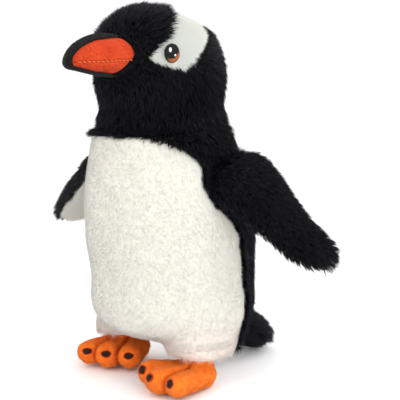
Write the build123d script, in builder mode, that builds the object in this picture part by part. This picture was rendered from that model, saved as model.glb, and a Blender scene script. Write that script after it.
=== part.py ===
from build123d import *
import os
from math import sin, cos, radians, sqrt

os.makedirs("parts", exist_ok=True)

# ---------------------------------------------------------------- driving dimensions (mm)
TOTAL_HEIGHT = 250.0      # floor to the tip of the crown pile
BODY_Y = -6.6             # where the upright body axis stands along Y (beak to -Y, tail to +Y)
PLUSH = 3.0               # fabric backing plus pressed pile, torso and head panels
WING_PLUSH = 2.2          # the same on the thin wings
FELT = 1.8                # beak cover
FOOT_PLUSH = 2.0          # foot upper
SOLE = 1.6                # foot sole thickness
NECK_Z = 172.0            # height of the plane where the head turns on the body
NECK_GAP = 0.6            # free gap across that plane
ROOT_GAP = 0.9            # free gap round a wing root or tail root
YOKE_TOP_FRONT_Z = 167.0  # height of the collar edge at the front of the chest

# upright rings of the torso and the head: height, centre offset in Y, half width X, half depth Y
TORSO = [(21, 4, 40, 38), (27, 4.5, 49, 46), (36, 5, 54, 51), (48, 5.5, 56.5, 53.5),
         (68, 6, 57, 54.5), (89, 5, 58.3, 56.5), (103, 4, 59, 57.3), (120, 2, 58, 56.8),
         (136, 0, 55.2, 54.3), (150.5, -1.5, 51.3, 51), (161, -2, 48.5, 48.5),
         (NECK_Z - NECK_GAP / 2, -3.2, 44.9, 46.6)]
HEAD = [(NECK_Z + NECK_GAP / 2, -3.3, 44.7, 46.4), (178, -4.4, 43.1, 45.1), (184.5, -5, 42.7, 44.7),
        (198, -5, 43.5, 45.5), (211.5, -5.5, 43, 45), (223.5, -6.5, 40.5, 42.5),
        (232, -8, 36.8, 38.5), (238.5, -10, 31, 32.8), (243.3, -11.5, 24.8, 26.5),
        (247, -12.5, 16.8, 18), (TOTAL_HEIGHT - 0.6, -13, 6, 6)]

# beak rings: distance forward of the body axis, centre height, half width, half height
BEAK = [(35, 217, 17.5, 13.6), (42, 217.3, 18.3, 14), (50, 217.7, 17.6, 13.7), (60, 218, 15.4, 12.5),
        (69, 217.7, 12.2, 10.3), (77, 216.6, 8.6, 7.5), (81.5, 215, 5.4, 4.8), (84, 213.8, 2, 2)]
RIDGE_HALF = 6.2          # half width of the dark strip along the beak's top, tip and underside
MOUTH_Z = 213.0           # height of the stitched mouth line

# wings: hinge point, tip and the direction across the wing; sections along the wing from the hinge
LEFT_WING_ROOT = (60.2, 9.4, 137.6)
RIGHT_WING_ROOT = (-62.2, 8.4, 136.6)
LEFT_TIP = (127.0, 25.0, 92.0)
RIGHT_TIP = (-128.8, 14.2, 84.6)
WING_CHORD = (0.0, 1.0, 0.35)
WING = [(-5.4, 15, 1.8), (-4.0, 18, 3.6), (0, 21, 5.6), (8, 24.5, 7.4), (22, 27, 9.3),
        (38, 26, 9.5), (55, 23, 8.8), (68, 19, 7.5), (76, 13, 5.2), (81, 5, 2.5)]
WING_FILL = [(-2.6, 14, 1.5), (0, 18.6, 3.3), (8, 22.2, 5.1), (22, 24.7, 7.0),
             (38, 23.7, 7.2), (55, 20.7, 6.5), (67, 16.8, 5.2), (74, 11, 3.2), (77.5, 4, 1.2)]

# tail: hinge point, direction in the YZ plane, sections along the tail from the hinge
TAIL_ROOT = (58.0, 31.0)
TAIL_DIR = (0.871, -0.491)
TAIL = [(-7.0, 12, 2.4), (-5, 15, 5.6), (0, 17, 8), (8, 18, 11), (20, 17.5, 12.5),
        (31, 14, 11.5), (39, 9, 8), (43, 4, 3.4)]
TAIL_FILL = [(-4.4, 12, 2.8), (0, 14.5, 5.5), (8, 15.5, 8.5), (20, 15, 10), (31, 11.5, 9), (38, 6.5, 5.2)]

# feet: centre under the leg, toe-in angle (positive turns the toes towards +X), toe capsules
LEFT_FOOT = (37.0, -4.0, -14.0)
RIGHT_FOOT = (-45.0, 8.0, 22.0)
TOES = [(-14.5, 28.8, 8.4), (0.0, 34.6, 8.9), (14.5, 29.6, 8.4)]   # sideways, forward, radius
TOE_AXIS_Z = 6.6
HEEL_BACK = 9.0
HEEL_R = 11.0

# legs: centre and half sizes at the hem and at the top inside the torso
LEG_HEM_Z = 11.5
LEG_TOP_Z = 46.0
LEFT_LEG = ((36.0, -3.0, 19.8, 20.0), (31.5, 3.0, 21.5, 25.0))
RIGHT_LEG = ((-44.5, 2.0, 19.8, 20.0), (-32.0, 4.0, 21.5, 25.0))

# eyes
EYE_AT = (36.4, -27.0, 219.6)
EYE_TURN = 60.0           # degrees round from straight ahead
EYE_LEAN = 0.20           # the face slopes back by this much at the eye
EYE_HALF_W, EYE_HALF_H = 5.3, 6.5
EYE_RAISE = 0.9


# ---------------------------------------------------------------- section helpers
def upright_loft(rings, grow=0.0, lift=0.0):
    # stack of ellipses about the body axis, lofted into the part being built
    faces = []
    for z, cy, rx, ry in rings:
        with BuildSketch(Plane((0, BODY_Y + cy, z + lift)), mode=Mode.PRIVATE) as ring:
            Ellipse(rx + grow, ry + grow)
        faces.append(ring.sketch)
    loft(sections=faces)


def unit(v):
    n = sqrt(sum(c * c for c in v))
    return tuple(c / n for c in v)


def limb_axes(root, tip, chord):
    # along the limb, across it, and square to both
    a = unit([t - r for t, r in zip(tip, root)])
    d = sum(p * q for p, q in zip(a, chord))
    c = unit([q - d * p for p, q in zip(a, chord)])
    n = (a[1] * c[2] - a[2] * c[1], a[2] * c[0] - a[0] * c[2], a[0] * c[1] - a[1] * c[0])
    return a, c, n


def limb_loft(root, a, c, sections):
    faces = []
    for s, hc, ht in sections:
        at = tuple(r + s * q for r, q in zip(root, a))
        with BuildSketch(Plane(at, x_dir=c, z_dir=a), mode=Mode.PRIVATE) as ring:
            Ellipse(hc, ht)
        faces.append(ring.sketch)
    loft(sections=faces)


def beak_loft(rings, grow=0.0):
    faces = []
    for y, zc, hw, hh in rings:
        with BuildSketch(Plane((0, BODY_Y - y, zc), x_dir=(1, 0, 0), z_dir=(0, -1, 0)),
                         mode=Mode.PRIVATE) as ring:
            Ellipse(hw + grow, hh + grow)
        faces.append(ring.sketch)
    loft(sections=faces)


def side_profile(points, mode):
    # closed outline in the YZ plane, run right across the toy
    with BuildSketch(Plane.YZ, mode=Mode.PRIVATE) as outline:
        with BuildLine():
            Polyline(*[(y + BODY_Y, z) for y, z in points], close=True)
        make_face()
    extrude(outline.sketch, amount=150, both=True, mode=mode)


def foot_shape(foot, shrink, floor_z, mode=Mode.ADD):
    # three round toes and a heel, flat underneath
    fx, fy, turn = foot
    t = radians(turn)
    fwd = (sin(t), -cos(t))
    side = (cos(t), sin(t))
    for off, reach, r in TOES:
        bx = fx + side[0] * off * 0.62 - fwd[0] * 4
        by = BODY_Y + fy + side[1] * off * 0.62 - fwd[1] * 4
        tx = fx + side[0] * off + fwd[0] * reach
        ty = BODY_Y + fy + side[1] * off + fwd[1] * reach
        run = sqrt((tx - bx) ** 2 + (ty - by) ** 2)
        toe_plane = Plane((bx, by, TOE_AXIS_Z), z_dir=(tx - bx, ty - by, 0))
        with Locations(toe_plane):
            Cylinder(r - shrink, run, align=(Align.CENTER, Align.CENTER, Align.MIN))
        with Locations((bx, by, TOE_AXIS_Z), (tx, ty, TOE_AXIS_Z)):
            Sphere(r - shrink)
    hx, hy = fx - fwd[0] * HEEL_BACK, BODY_Y + fy - fwd[1] * HEEL_BACK
    heel_plane = Plane((hx, hy, TOE_AXIS_Z), z_dir=(fwd[0], fwd[1], 0))
    with Locations(heel_plane):
        Cylinder(HEEL_R - shrink, HEEL_BACK + 6, align=(Align.CENTER, Align.CENTER, Align.MIN))
    with Locations((hx, hy, TOE_AXIS_Z)):
        Sphere(HEEL_R - shrink)
    with Locations((fx, BODY_Y + fy, floor_z)):
        Box(160, 160, 60, align=(Align.CENTER, Align.CENTER, Align.MAX), mode=Mode.SUBTRACT)


def leg_loft(leg, grow=0.0):
    (hx, hy, hrx, hry), (ux, uy, urx, ury) = leg
    with BuildSketch(Plane((hx, BODY_Y + hy, LEG_HEM_Z)), mode=Mode.PRIVATE) as hem:
        Ellipse(hrx + grow, hry + grow)
    with BuildSketch(Plane(((hx + ux) / 2, BODY_Y + (hy + uy) / 2, (LEG_HEM_Z + LEG_TOP_Z) / 2)),
                     mode=Mode.PRIVATE) as calf:
        Ellipse((hrx + urx) / 2 + 1 + grow, (hry + ury) / 2 + 1 + grow)
    with BuildSketch(Plane((ux, BODY_Y + uy, LEG_TOP_Z)), mode=Mode.PRIVATE) as top:
        Ellipse(urx + grow, ury + grow)
    loft(sections=[hem.sketch, calf.sketch, top.sketch])


# ---------------------------------------------------------------- wing and tail frames
LEFT_ROOT = (LEFT_WING_ROOT[0], BODY_Y + LEFT_WING_ROOT[1], LEFT_WING_ROOT[2])
RIGHT_ROOT = (RIGHT_WING_ROOT[0], BODY_Y + RIGHT_WING_ROOT[1], RIGHT_WING_ROOT[2])
LA, LC, LN = limb_axes(LEFT_ROOT, (LEFT_TIP[0], BODY_Y + LEFT_TIP[1], LEFT_TIP[2]), WING_CHORD)
RA, RC, RN = limb_axes(RIGHT_ROOT, (RIGHT_TIP[0], BODY_Y + RIGHT_TIP[1], RIGHT_TIP[2]), WING_CHORD)
RN = tuple(-v for v in RN)      # on the right the square direction is turned to point up too
TAIL_AT = (0.0, BODY_Y + TAIL_ROOT[0], TAIL_ROOT[1])
TA = unit((0.0, TAIL_DIR[0], TAIL_DIR[1]))
WING_SOCKET_R = WING[2][2] + ROOT_GAP
TAIL_SOCKET_R = TAIL[2][2] + ROOT_GAP


def root_sockets():
    # round channels in the body's sides and back, in which the wing and tail roots turn
    with Locations(Plane(LEFT_ROOT, z_dir=LC), Plane(RIGHT_ROOT, z_dir=RC)):
        Cylinder(WING_SOCKET_R, 90, mode=Mode.SUBTRACT)
    with Locations(Plane(TAIL_AT, z_dir=(1, 0, 0))):
        Cylinder(TAIL_SOCKET_R, 60, mode=Mode.SUBTRACT)


# ---------------------------------------------------------------- torso envelopes
with BuildPart() as torso_outer:
    upright_loft(TORSO)
    root_sockets()

TORSO_IN = [(TORSO[0][0] + PLUSH,) + tuple(TORSO[0][1:])] + TORSO[1:]
with BuildPart() as torso_inner:
    upright_loft(TORSO_IN, -PLUSH)
    with Locations(Plane(LEFT_ROOT, z_dir=LC), Plane(RIGHT_ROOT, z_dir=RC)):
        Cylinder(WING_SOCKET_R + 1.2, 90, mode=Mode.SUBTRACT)
    with Locations(Plane(TAIL_AT, z_dir=(1, 0, 0))):
        Cylinder(TAIL_SOCKET_R + 1.2, 60, mode=Mode.SUBTRACT)

with BuildPart() as torso_shell:
    add(torso_outer.part)
    add(torso_inner.part, mode=Mode.SUBTRACT)

# outlines in the YZ plane that part the torso cover into its cut panels
BASE_Z = 29.0
BELLY_EDGE = [(15, BASE_Z), (15.5, 45), (17, 60), (15.7, 80), (10.8, 101), (4.5, 110), (-2, 117),
              (-8, 123), (-10.8, 130), (-12, 138), (-13.5, 147), (-18.4, 154), (-24, 159.5),
              (-32, 163.8), (-42, 166.4), (-52, YOKE_TOP_FRONT_Z)]
BELLY_SHAPE = BELLY_EDGE + [(-80, YOKE_TOP_FRONT_Z), (-80, BASE_Z)]
YOKE_LOW_Z = 130.0

with BuildPart() as belly_panel:
    add(torso_shell.part)
    side_profile(BELLY_SHAPE, Mode.INTERSECT)
belly_panel.part.label = "belly_panel"
export_step(belly_panel.part, "parts/belly_panel.step")

with BuildPart() as base_gusset:
    add(torso_shell.part)
    side_profile([(-90, 0), (90, 0), (90, BASE_Z), (-90, BASE_Z)], Mode.INTERSECT)
base_gusset.part.label = "base_gusset"
export_step(base_gusset.part, "parts/base_gusset.step")

with BuildPart() as neck_yoke:
    add(torso_shell.part)
    side_profile([(-90, YOKE_LOW_Z), (90, YOKE_LOW_Z), (90, 190), (-90, 190)], Mode.INTERSECT)
    side_profile(BELLY_SHAPE, Mode.SUBTRACT)
neck_yoke.part.label = "neck_yoke"
export_step(neck_yoke.part, "parts/neck_yoke.step")

with BuildPart() as back_cover:
    add(torso_shell.part)
    side_profile([(-90, BASE_Z), (90, BASE_Z), (90, YOKE_LOW_Z), (-90, YOKE_LOW_Z)], Mode.INTERSECT)
    side_profile(BELLY_SHAPE, Mode.SUBTRACT)

with BuildPart() as left_back_panel:
    add(back_cover.part)
    split(bisect_by=Plane.YZ, keep=Keep.TOP)
left_back_panel.part.label = "left_back_panel"
export_step(left_back_panel.part, "parts/left_back_panel.step")

with BuildPart() as right_back_panel:
    add(back_cover.part)
    split(bisect_by=Plane.YZ, keep=Keep.BOTTOM)
right_back_panel.part.label = "right_back_panel"
export_step(right_back_panel.part, "parts/right_back_panel.step")

with BuildPart() as torso_stuffing:
    add(torso_inner.part)
torso_stuffing.part.label = "torso_stuffing"
export_step(torso_stuffing.part, "parts/torso_stuffing.step")

# ---------------------------------------------------------------- feet
with BuildPart() as left_foot_outer:
    foot_shape(LEFT_FOOT, 0, 0)
with BuildPart() as left_foot_inner:
    foot_shape(LEFT_FOOT, FOOT_PLUSH, SOLE)
with BuildPart() as right_foot_outer:
    foot_shape(RIGHT_FOOT, 0, 0)
with BuildPart() as right_foot_inner:
    foot_shape(RIGHT_FOOT, FOOT_PLUSH, SOLE)

with BuildPart() as left_foot_sole:
    add(left_foot_outer.part)
    split(bisect_by=Plane.XY.offset(SOLE), keep=Keep.BOTTOM)
left_foot_sole.part.label = "left_foot_sole"
export_step(left_foot_sole.part, "parts/left_foot_sole.step")

with BuildPart() as left_foot_upper:
    add(left_foot_outer.part)
    split(bisect_by=Plane.XY.offset(SOLE), keep=Keep.TOP)
    add(left_foot_inner.part, mode=Mode.SUBTRACT)
left_foot_upper.part.label = "left_foot_upper"
export_step(left_foot_upper.part, "parts/left_foot_upper.step")

with BuildPart() as left_foot_stuffing:
    add(left_foot_inner.part)
left_foot_stuffing.part.label = "left_foot_stuffing"
export_step(left_foot_stuffing.part, "parts/left_foot_stuffing.step")

with BuildPart() as right_foot_sole:
    add(right_foot_outer.part)
    split(bisect_by=Plane.XY.offset(SOLE), keep=Keep.BOTTOM)
right_foot_sole.part.label = "right_foot_sole"
export_step(right_foot_sole.part, "parts/right_foot_sole.step")

with BuildPart() as right_foot_upper:
    add(right_foot_outer.part)
    split(bisect_by=Plane.XY.offset(SOLE), keep=Keep.TOP)
    add(right_foot_inner.part, mode=Mode.SUBTRACT)
right_foot_upper.part.label = "right_foot_upper"
export_step(right_foot_upper.part, "parts/right_foot_upper.step")

with BuildPart() as right_foot_stuffing:
    add(right_foot_inner.part)
right_foot_stuffing.part.label = "right_foot_stuffing"
export_step(right_foot_stuffing.part, "parts/right_foot_stuffing.step")

# ---------------------------------------------------------------- legs
with BuildPart() as left_leg_bore:
    leg_loft(LEFT_LEG, -PLUSH)
with BuildPart() as left_leg_cuff:
    leg_loft(LEFT_LEG)
    add(left_leg_bore.part, mode=Mode.SUBTRACT)
    add(torso_outer.part, mode=Mode.SUBTRACT)
    add(left_foot_outer.part, mode=Mode.SUBTRACT)
left_leg_cuff.part.label = "left_leg_cuff"
export_step(left_leg_cuff.part, "parts/left_leg_cuff.step")

with BuildPart() as left_leg_stuffing:
    add(left_leg_bore.part)
    add(torso_outer.part, mode=Mode.SUBTRACT)
    add(left_foot_outer.part, mode=Mode.SUBTRACT)
left_leg_stuffing.part.label = "left_leg_stuffing"
export_step(left_leg_stuffing.part, "parts/left_leg_stuffing.step")

with BuildPart() as right_leg_bore:
    leg_loft(RIGHT_LEG, -PLUSH)
with BuildPart() as right_leg_cuff:
    leg_loft(RIGHT_LEG)
    add(right_leg_bore.part, mode=Mode.SUBTRACT)
    add(torso_outer.part, mode=Mode.SUBTRACT)
    add(right_foot_outer.part, mode=Mode.SUBTRACT)
right_leg_cuff.part.label = "right_leg_cuff"
export_step(right_leg_cuff.part, "parts/right_leg_cuff.step")

with BuildPart() as right_leg_stuffing:
    add(right_leg_bore.part)
    add(torso_outer.part, mode=Mode.SUBTRACT)
    add(right_foot_outer.part, mode=Mode.SUBTRACT)
right_leg_stuffing.part.label = "right_leg_stuffing"
export_step(right_leg_stuffing.part, "parts/right_leg_stuffing.step")

# ---------------------------------------------------------------- head envelopes
with BuildPart() as head_outer:
    upright_loft(HEAD)

HEAD_IN = HEAD[:7] + [(237.0, -10, 30.6, 32.4), (241.2, -11.5, 24.8, 26.5), (244.6, -12.5, 16.8, 18),
                      (246.2, -13, 9, 9)]
with BuildPart() as head_inner:
    upright_loft(HEAD_IN, -PLUSH)

with BuildPart() as head_shell:
    add(head_outer.part)
    add(head_inner.part, mode=Mode.SUBTRACT)

# the pale band: two slanted edges over the crown and a lower edge under the eyes
BAND = [(-41, 216.2), (-6, 249), (2, 258), (32, 258), (14.5, 242), (7, 234), (-4.9, 222.3),
        (-12, 214.8), (-17.4, 209.8), (-25, 210.2), (-33, 212.4)]
CROWN = [(-90, 216.2), (-41, 216.2), (-6, 249), (2, 258), (-90, 258)]

with BuildPart() as eye_band:
    add(head_shell.part)
    side_profile(BAND, Mode.INTERSECT)
eye_band.part.label = "eye_band"
export_step(eye_band.part, "parts/eye_band.step")

with BuildPart() as crown_panel:
    add(head_shell.part)
    side_profile(CROWN, Mode.INTERSECT)
crown_panel.part.label = "crown_panel"
export_step(crown_panel.part, "parts/crown_panel.step")

with BuildPart() as lower_cover:
    add(head_shell.part)
    side_profile(BAND, Mode.SUBTRACT)
    side_profile(CROWN, Mode.SUBTRACT)

NAPE = [(-5, 160), (90, 160), (90, 258), (-5, 258)]
with BuildPart() as nape_panel:
    add(lower_cover.part)
    side_profile(NAPE, Mode.INTERSECT)
nape_panel.part.label = "nape_panel"
export_step(nape_panel.part, "parts/nape_panel.step")

with BuildPart() as throat_cover:
    add(lower_cover.part)
    side_profile(NAPE, Mode.SUBTRACT)

with BuildPart() as left_cheek_panel:
    add(throat_cover.part)
    split(bisect_by=Plane.YZ, keep=Keep.TOP)
left_cheek_panel.part.label = "left_cheek_panel"
export_step(left_cheek_panel.part, "parts/left_cheek_panel.step")

with BuildPart() as right_cheek_panel:
    add(throat_cover.part)
    split(bisect_by=Plane.YZ, keep=Keep.BOTTOM)
right_cheek_panel.part.label = "right_cheek_panel"
export_step(right_cheek_panel.part, "parts/right_cheek_panel.step")

with BuildPart() as head_stuffing:
    add(head_inner.part)
head_stuffing.part.label = "head_stuffing"
export_step(head_stuffing.part, "parts/head_stuffing.step")

# ---------------------------------------------------------------- beak
with BuildPart() as beak_outer:
    beak_loft(BEAK)
    add(head_outer.part, mode=Mode.SUBTRACT)

BEAK_IN = [r for r in BEAK if r[0] < 78]
with BuildPart() as beak_inner:
    beak_loft(BEAK_IN + [(80.6, 215.4, 4.2, 3.6)], -FELT)
    add(head_outer.part, mode=Mode.SUBTRACT)

with BuildPart() as beak_shell:
    add(beak_outer.part)
    add(beak_inner.part, mode=Mode.SUBTRACT)

with BuildPart() as beak_left_side:
    add(beak_shell.part)
    split(bisect_by=Plane.YZ.offset(RIDGE_HALF), keep=Keep.TOP)
beak_left_side.part.label = "beak_left_side"
export_step(beak_left_side.part, "parts/beak_left_side.step")

with BuildPart() as beak_right_side:
    add(beak_shell.part)
    split(bisect_by=Plane.YZ.offset(-RIDGE_HALF), keep=Keep.BOTTOM)
beak_right_side.part.label = "beak_right_side"
export_step(beak_right_side.part, "parts/beak_right_side.step")

with BuildPart() as beak_ridge_strip:
    add(beak_shell.part)
    split(bisect_by=Plane.YZ.offset(RIDGE_HALF), keep=Keep.BOTTOM)
    split(bisect_by=Plane.YZ.offset(-RIDGE_HALF), keep=Keep.TOP)
beak_ridge_strip.part.label = "beak_ridge_strip"
export_step(beak_ridge_strip.part, "parts/beak_ridge_strip.step")

with BuildPart() as beak_stuffing:
    add(beak_inner.part)
beak_stuffing.part.label = "beak_stuffing"
export_step(beak_stuffing.part, "parts/beak_stuffing.step")

with BuildPart() as mouth_ring:
    beak_loft(BEAK, 0.7)
    add(beak_outer.part, mode=Mode.SUBTRACT)
    add(head_outer.part, mode=Mode.SUBTRACT)
    side_profile([(-79, MOUTH_Z - 0.6), (-41, MOUTH_Z - 0.6), (-41, MOUTH_Z + 0.6), (-79, MOUTH_Z + 0.6)],
                 Mode.INTERSECT)

with BuildPart() as left_mouth_stitching:
    add(mouth_ring.part)
    split(bisect_by=Plane.YZ.offset(RIDGE_HALF), keep=Keep.TOP)
left_mouth_stitching.part.label = "left_mouth_stitching"
export_step(left_mouth_stitching.part, "parts/left_mouth_stitching.step")

with BuildPart() as right_mouth_stitching:
    add(mouth_ring.part)
    split(bisect_by=Plane.YZ.offset(-RIDGE_HALF), keep=Keep.BOTTOM)
right_mouth_stitching.part.label = "right_mouth_stitching"
export_step(right_mouth_stitching.part, "parts/right_mouth_stitching.step")

# ---------------------------------------------------------------- eyes, as raised stitching on the band
TURN = radians(EYE_TURN)
EYE_PLANE = Plane((EYE_AT[0], BODY_Y + EYE_AT[1], EYE_AT[2]),
                  x_dir=(cos(TURN), sin(TURN), 0), z_dir=unit((sin(TURN), -cos(TURN), EYE_LEAN)))

with BuildPart() as eye_layer:
    upright_loft(HEAD[3:8], EYE_RAISE)
    add(head_outer.part, mode=Mode.SUBTRACT)


def eye_area(shapes):
    # first shape starts the outline, the rest add to it or take from it
    with BuildSketch(EYE_PLANE, mode=Mode.PRIVATE) as area:
        for cx, cy, rx, ry, mode in shapes:
            with Locations((cx, cy)):
                Ellipse(rx, ry, mode=mode)
    extrude(area.sketch, amount=9, both=True, mode=Mode.INTERSECT)


GLINT_BIG = (-1.3, 2.3, 1.15, 1.75)
GLINT_SMALL = (1.9, -1.4, 0.75, 0.75)
IRIS = (0.3, -0.5, 4.3, 5.3)
IRIS_CUT = (-0.5, 1.5, 5.1, 5.1)

with BuildPart() as left_eye_glint:
    add(eye_layer.part)
    eye_area([GLINT_BIG + (Mode.ADD,), GLINT_SMALL + (Mode.ADD,)])
left_eye_glint.part.label = "left_eye_glint"
export_step(left_eye_glint.part, "parts/left_eye_glint.step")

with BuildPart() as left_eye_iris:
    add(eye_layer.part)
    eye_area([IRIS + (Mode.ADD,), IRIS_CUT + (Mode.SUBTRACT,), GLINT_SMALL + (Mode.SUBTRACT,)])
left_eye_iris.part.label = "left_eye_iris"
export_step(left_eye_iris.part, "parts/left_eye_iris.step")

with BuildPart() as left_eye_black:
    add(eye_layer.part)
    eye_area([(0, 0, EYE_HALF_W, EYE_HALF_H, Mode.ADD)])
    add(left_eye_iris.part, mode=Mode.SUBTRACT)
    add(left_eye_glint.part, mode=Mode.SUBTRACT)
left_eye_black.part.label = "left_eye_black"
export_step(left_eye_black.part, "parts/left_eye_black.step")

with BuildPart() as right_eye_glint:
    mirror(left_eye_glint.part, about=Plane.YZ)
right_eye_glint.part.label = "right_eye_glint"
export_step(right_eye_glint.part, "parts/right_eye_glint.step")

with BuildPart() as right_eye_iris:
    mirror(left_eye_iris.part, about=Plane.YZ)
right_eye_iris.part.label = "right_eye_iris"
export_step(right_eye_iris.part, "parts/right_eye_iris.step")

with BuildPart() as right_eye_black:
    mirror(left_eye_black.part, about=Plane.YZ)
right_eye_black.part.label = "right_eye_black"
export_step(right_eye_black.part, "parts/right_eye_black.step")

# ---------------------------------------------------------------- left wing
LEFT_MID = Plane(LEFT_ROOT, x_dir=LA, z_dir=LN)

with BuildPart() as left_wing_core:
    limb_loft(LEFT_ROOT, LA, LC, WING_FILL)

with BuildPart() as left_wing_cover:
    limb_loft(LEFT_ROOT, LA, LC, WING)
    add(left_wing_core.part, mode=Mode.SUBTRACT)

with BuildPart() as left_wing_outer:
    add(left_wing_cover.part)
    split(bisect_by=LEFT_MID, keep=Keep.TOP)
left_wing_outer.part.label = "left_wing_outer"
export_step(left_wing_outer.part, "parts/left_wing_outer.step")

with BuildPart() as left_wing_inner:
    add(left_wing_cover.part)
    split(bisect_by=LEFT_MID, keep=Keep.BOTTOM)
left_wing_inner.part.label = "left_wing_inner"
export_step(left_wing_inner.part, "parts/left_wing_inner.step")

with BuildPart() as left_wing_stuffing:
    add(left_wing_core.part)
left_wing_stuffing.part.label = "left_wing_stuffing"
export_step(left_wing_stuffing.part, "parts/left_wing_stuffing.step")

# ---------------------------------------------------------------- right wing
RIGHT_MID = Plane(RIGHT_ROOT, x_dir=RA, z_dir=RN)

with BuildPart() as right_wing_core:
    limb_loft(RIGHT_ROOT, RA, RC, WING_FILL)

with BuildPart() as right_wing_cover:
    limb_loft(RIGHT_ROOT, RA, RC, WING)
    add(right_wing_core.part, mode=Mode.SUBTRACT)

with BuildPart() as right_wing_outer:
    add(right_wing_cover.part)
    split(bisect_by=RIGHT_MID, keep=Keep.TOP)
right_wing_outer.part.label = "right_wing_outer"
export_step(right_wing_outer.part, "parts/right_wing_outer.step")

with BuildPart() as right_wing_inner:
    add(right_wing_cover.part)
    split(bisect_by=RIGHT_MID, keep=Keep.BOTTOM)
right_wing_inner.part.label = "right_wing_inner"
export_step(right_wing_inner.part, "parts/right_wing_inner.step")

with BuildPart() as right_wing_stuffing:
    add(right_wing_core.part)
right_wing_stuffing.part.label = "right_wing_stuffing"
export_step(right_wing_stuffing.part, "parts/right_wing_stuffing.step")

# ---------------------------------------------------------------- tail
TAIL_MID = Plane(TAIL_AT, x_dir=(1, 0, 0), z_dir=(0, -TA[2], TA[1]))

with BuildPart() as tail_core:
    limb_loft(TAIL_AT, TA, (1, 0, 0), TAIL_FILL)

with BuildPart() as tail_cover:
    limb_loft(TAIL_AT, TA, (1, 0, 0), TAIL)
    add(tail_core.part, mode=Mode.SUBTRACT)

with BuildPart() as tail_upper:
    add(tail_cover.part)
    split(bisect_by=TAIL_MID, keep=Keep.TOP)
tail_upper.part.label = "tail_upper"
export_step(tail_upper.part, "parts/tail_upper.step")

with BuildPart() as tail_under:
    add(tail_cover.part)
    split(bisect_by=TAIL_MID, keep=Keep.BOTTOM)
tail_under.part.label = "tail_under"
export_step(tail_under.part, "parts/tail_under.step")

with BuildPart() as tail_stuffing:
    add(tail_core.part)
tail_stuffing.part.label = "tail_stuffing"
export_step(tail_stuffing.part, "parts/tail_stuffing.step")
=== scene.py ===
import bpy, math
import numpy as np
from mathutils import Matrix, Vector


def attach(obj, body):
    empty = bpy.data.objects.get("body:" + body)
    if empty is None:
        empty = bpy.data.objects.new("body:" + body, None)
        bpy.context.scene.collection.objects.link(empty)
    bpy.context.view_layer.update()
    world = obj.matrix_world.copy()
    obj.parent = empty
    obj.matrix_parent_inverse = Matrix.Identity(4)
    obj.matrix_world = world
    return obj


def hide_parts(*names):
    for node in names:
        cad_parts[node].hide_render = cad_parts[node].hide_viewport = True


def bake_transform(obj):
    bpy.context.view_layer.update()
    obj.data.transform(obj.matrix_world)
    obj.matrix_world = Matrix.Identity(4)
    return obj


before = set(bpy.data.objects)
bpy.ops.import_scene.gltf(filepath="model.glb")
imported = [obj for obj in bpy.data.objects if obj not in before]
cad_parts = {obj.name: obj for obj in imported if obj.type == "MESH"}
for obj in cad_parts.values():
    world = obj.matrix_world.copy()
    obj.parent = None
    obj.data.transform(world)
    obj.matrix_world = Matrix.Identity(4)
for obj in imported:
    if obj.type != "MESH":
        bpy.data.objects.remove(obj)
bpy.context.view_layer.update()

MM = 0.001
BY = -6.6                 # body axis along Y, in mm like every number below
NECK = 172.0

TORSO = [(25, 12, 26, 24), (28, 10, 35, 32), (33, 7.4, 47, 44), (40, 6.0, 54, 50.5), (50, 5.4, 57.8, 54.0),
         (68, 6, 57, 54.5), (89, 5, 58.3, 56.5), (103, 4, 59, 57.3), (120, 2, 58, 56.8),
         (136, 0, 55.2, 54.3), (150.5, -1.5, 51.3, 51), (161, -2, 48.5, 48.5), (171.7, -3.2, 44.9, 46.6)]
HEAD = [(172.3, -3.3, 44.7, 46.4), (178, -4.4, 43.1, 45.1), (184.5, -5, 42.7, 44.7),
        (198, -5, 43.5, 45.5), (211.5, -5.5, 43, 45), (223.5, -6.5, 40.5, 42.5),
        (232, -8, 36.8, 38.5), (238.5, -10, 31, 32.8), (243.3, -11.5, 24.8, 26.5),
        (247, -12.5, 16.8, 18), (249.4, -13, 6, 6)]
BELLY_EDGE = [(15, 29), (15.5, 45), (17, 60), (15.7, 80), (10.8, 101), (4.5, 110), (-2, 117),
              (-8, 123), (-10.8, 130), (-12, 138), (-13.5, 147), (-18.4, 154), (-24, 159.5),
              (-32, 163.8), (-42, 166.4), (-52, 167)]
BEAK = [(33, 217, 17.2, 13.4), (35, 217, 17.5, 13.6), (42, 217.3, 18.3, 14), (50, 217.7, 17.6, 13.7),
        (60, 218, 15.4, 12.5), (69, 217.7, 12.2, 10.3), (77, 216.6, 8.6, 7.5), (81.5, 215, 5.4, 4.8),
        (84, 213.8, 2, 2)]
L_ROOT, L_TIP = np.array((60.2, 9.4 + BY, 137.6)), np.array((127.0, 25.0 + BY, 92.0))
R_ROOT, R_TIP = np.array((-62.2, 8.4 + BY, 136.6)), np.array((-128.8, 14.2 + BY, 84.6))
CHORD = np.array((0, 1, 0.35))
CHORD_R = np.array((0.21, 0.965, -0.16))
WING = [(-18, 15, 6.2, 4.4), (-12, 20.4, 7.6, 4.4), (-6, 23.6, 8.8, 4.2), (0, 24.6, 9.6, 3.6), (10, 23.2, 10.2, 2.4),
        (20, 21.2, 10.3, 1), (30, 19, 10, -0.8), (40, 17.4, 9.5, -2.1), (50, 16.2, 8.9, -2.9), (60, 15.6, 8.1, -2.8),
        (68, 15.4, 7.2, -2.3), (75, 13.2, 5.8, -1.6), (79.5, 8.6, 4.0, -0.8), (82, 4.8, 2.6, -0.6)]
T_ROOT, T_DIR = np.array((0, 57.0 + BY, 27.0)), np.array((0, 0.86, -0.51))
TAIL = [(-14, 12, 8, 0), (-8, 15, 9, 0), (2, 17.5, 9.5, 0), (10, 18.5, 10, 0), (20, 18, 10, 0),
        (31, 15.5, 9, 0), (39, 11.5, 7.4, 0), (43, 6.5, 4.6, 0)]
FEET = {"left": (37.0, -4.0, -14.0), "right": (-46.8, 7.2, 22.0)}
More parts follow.
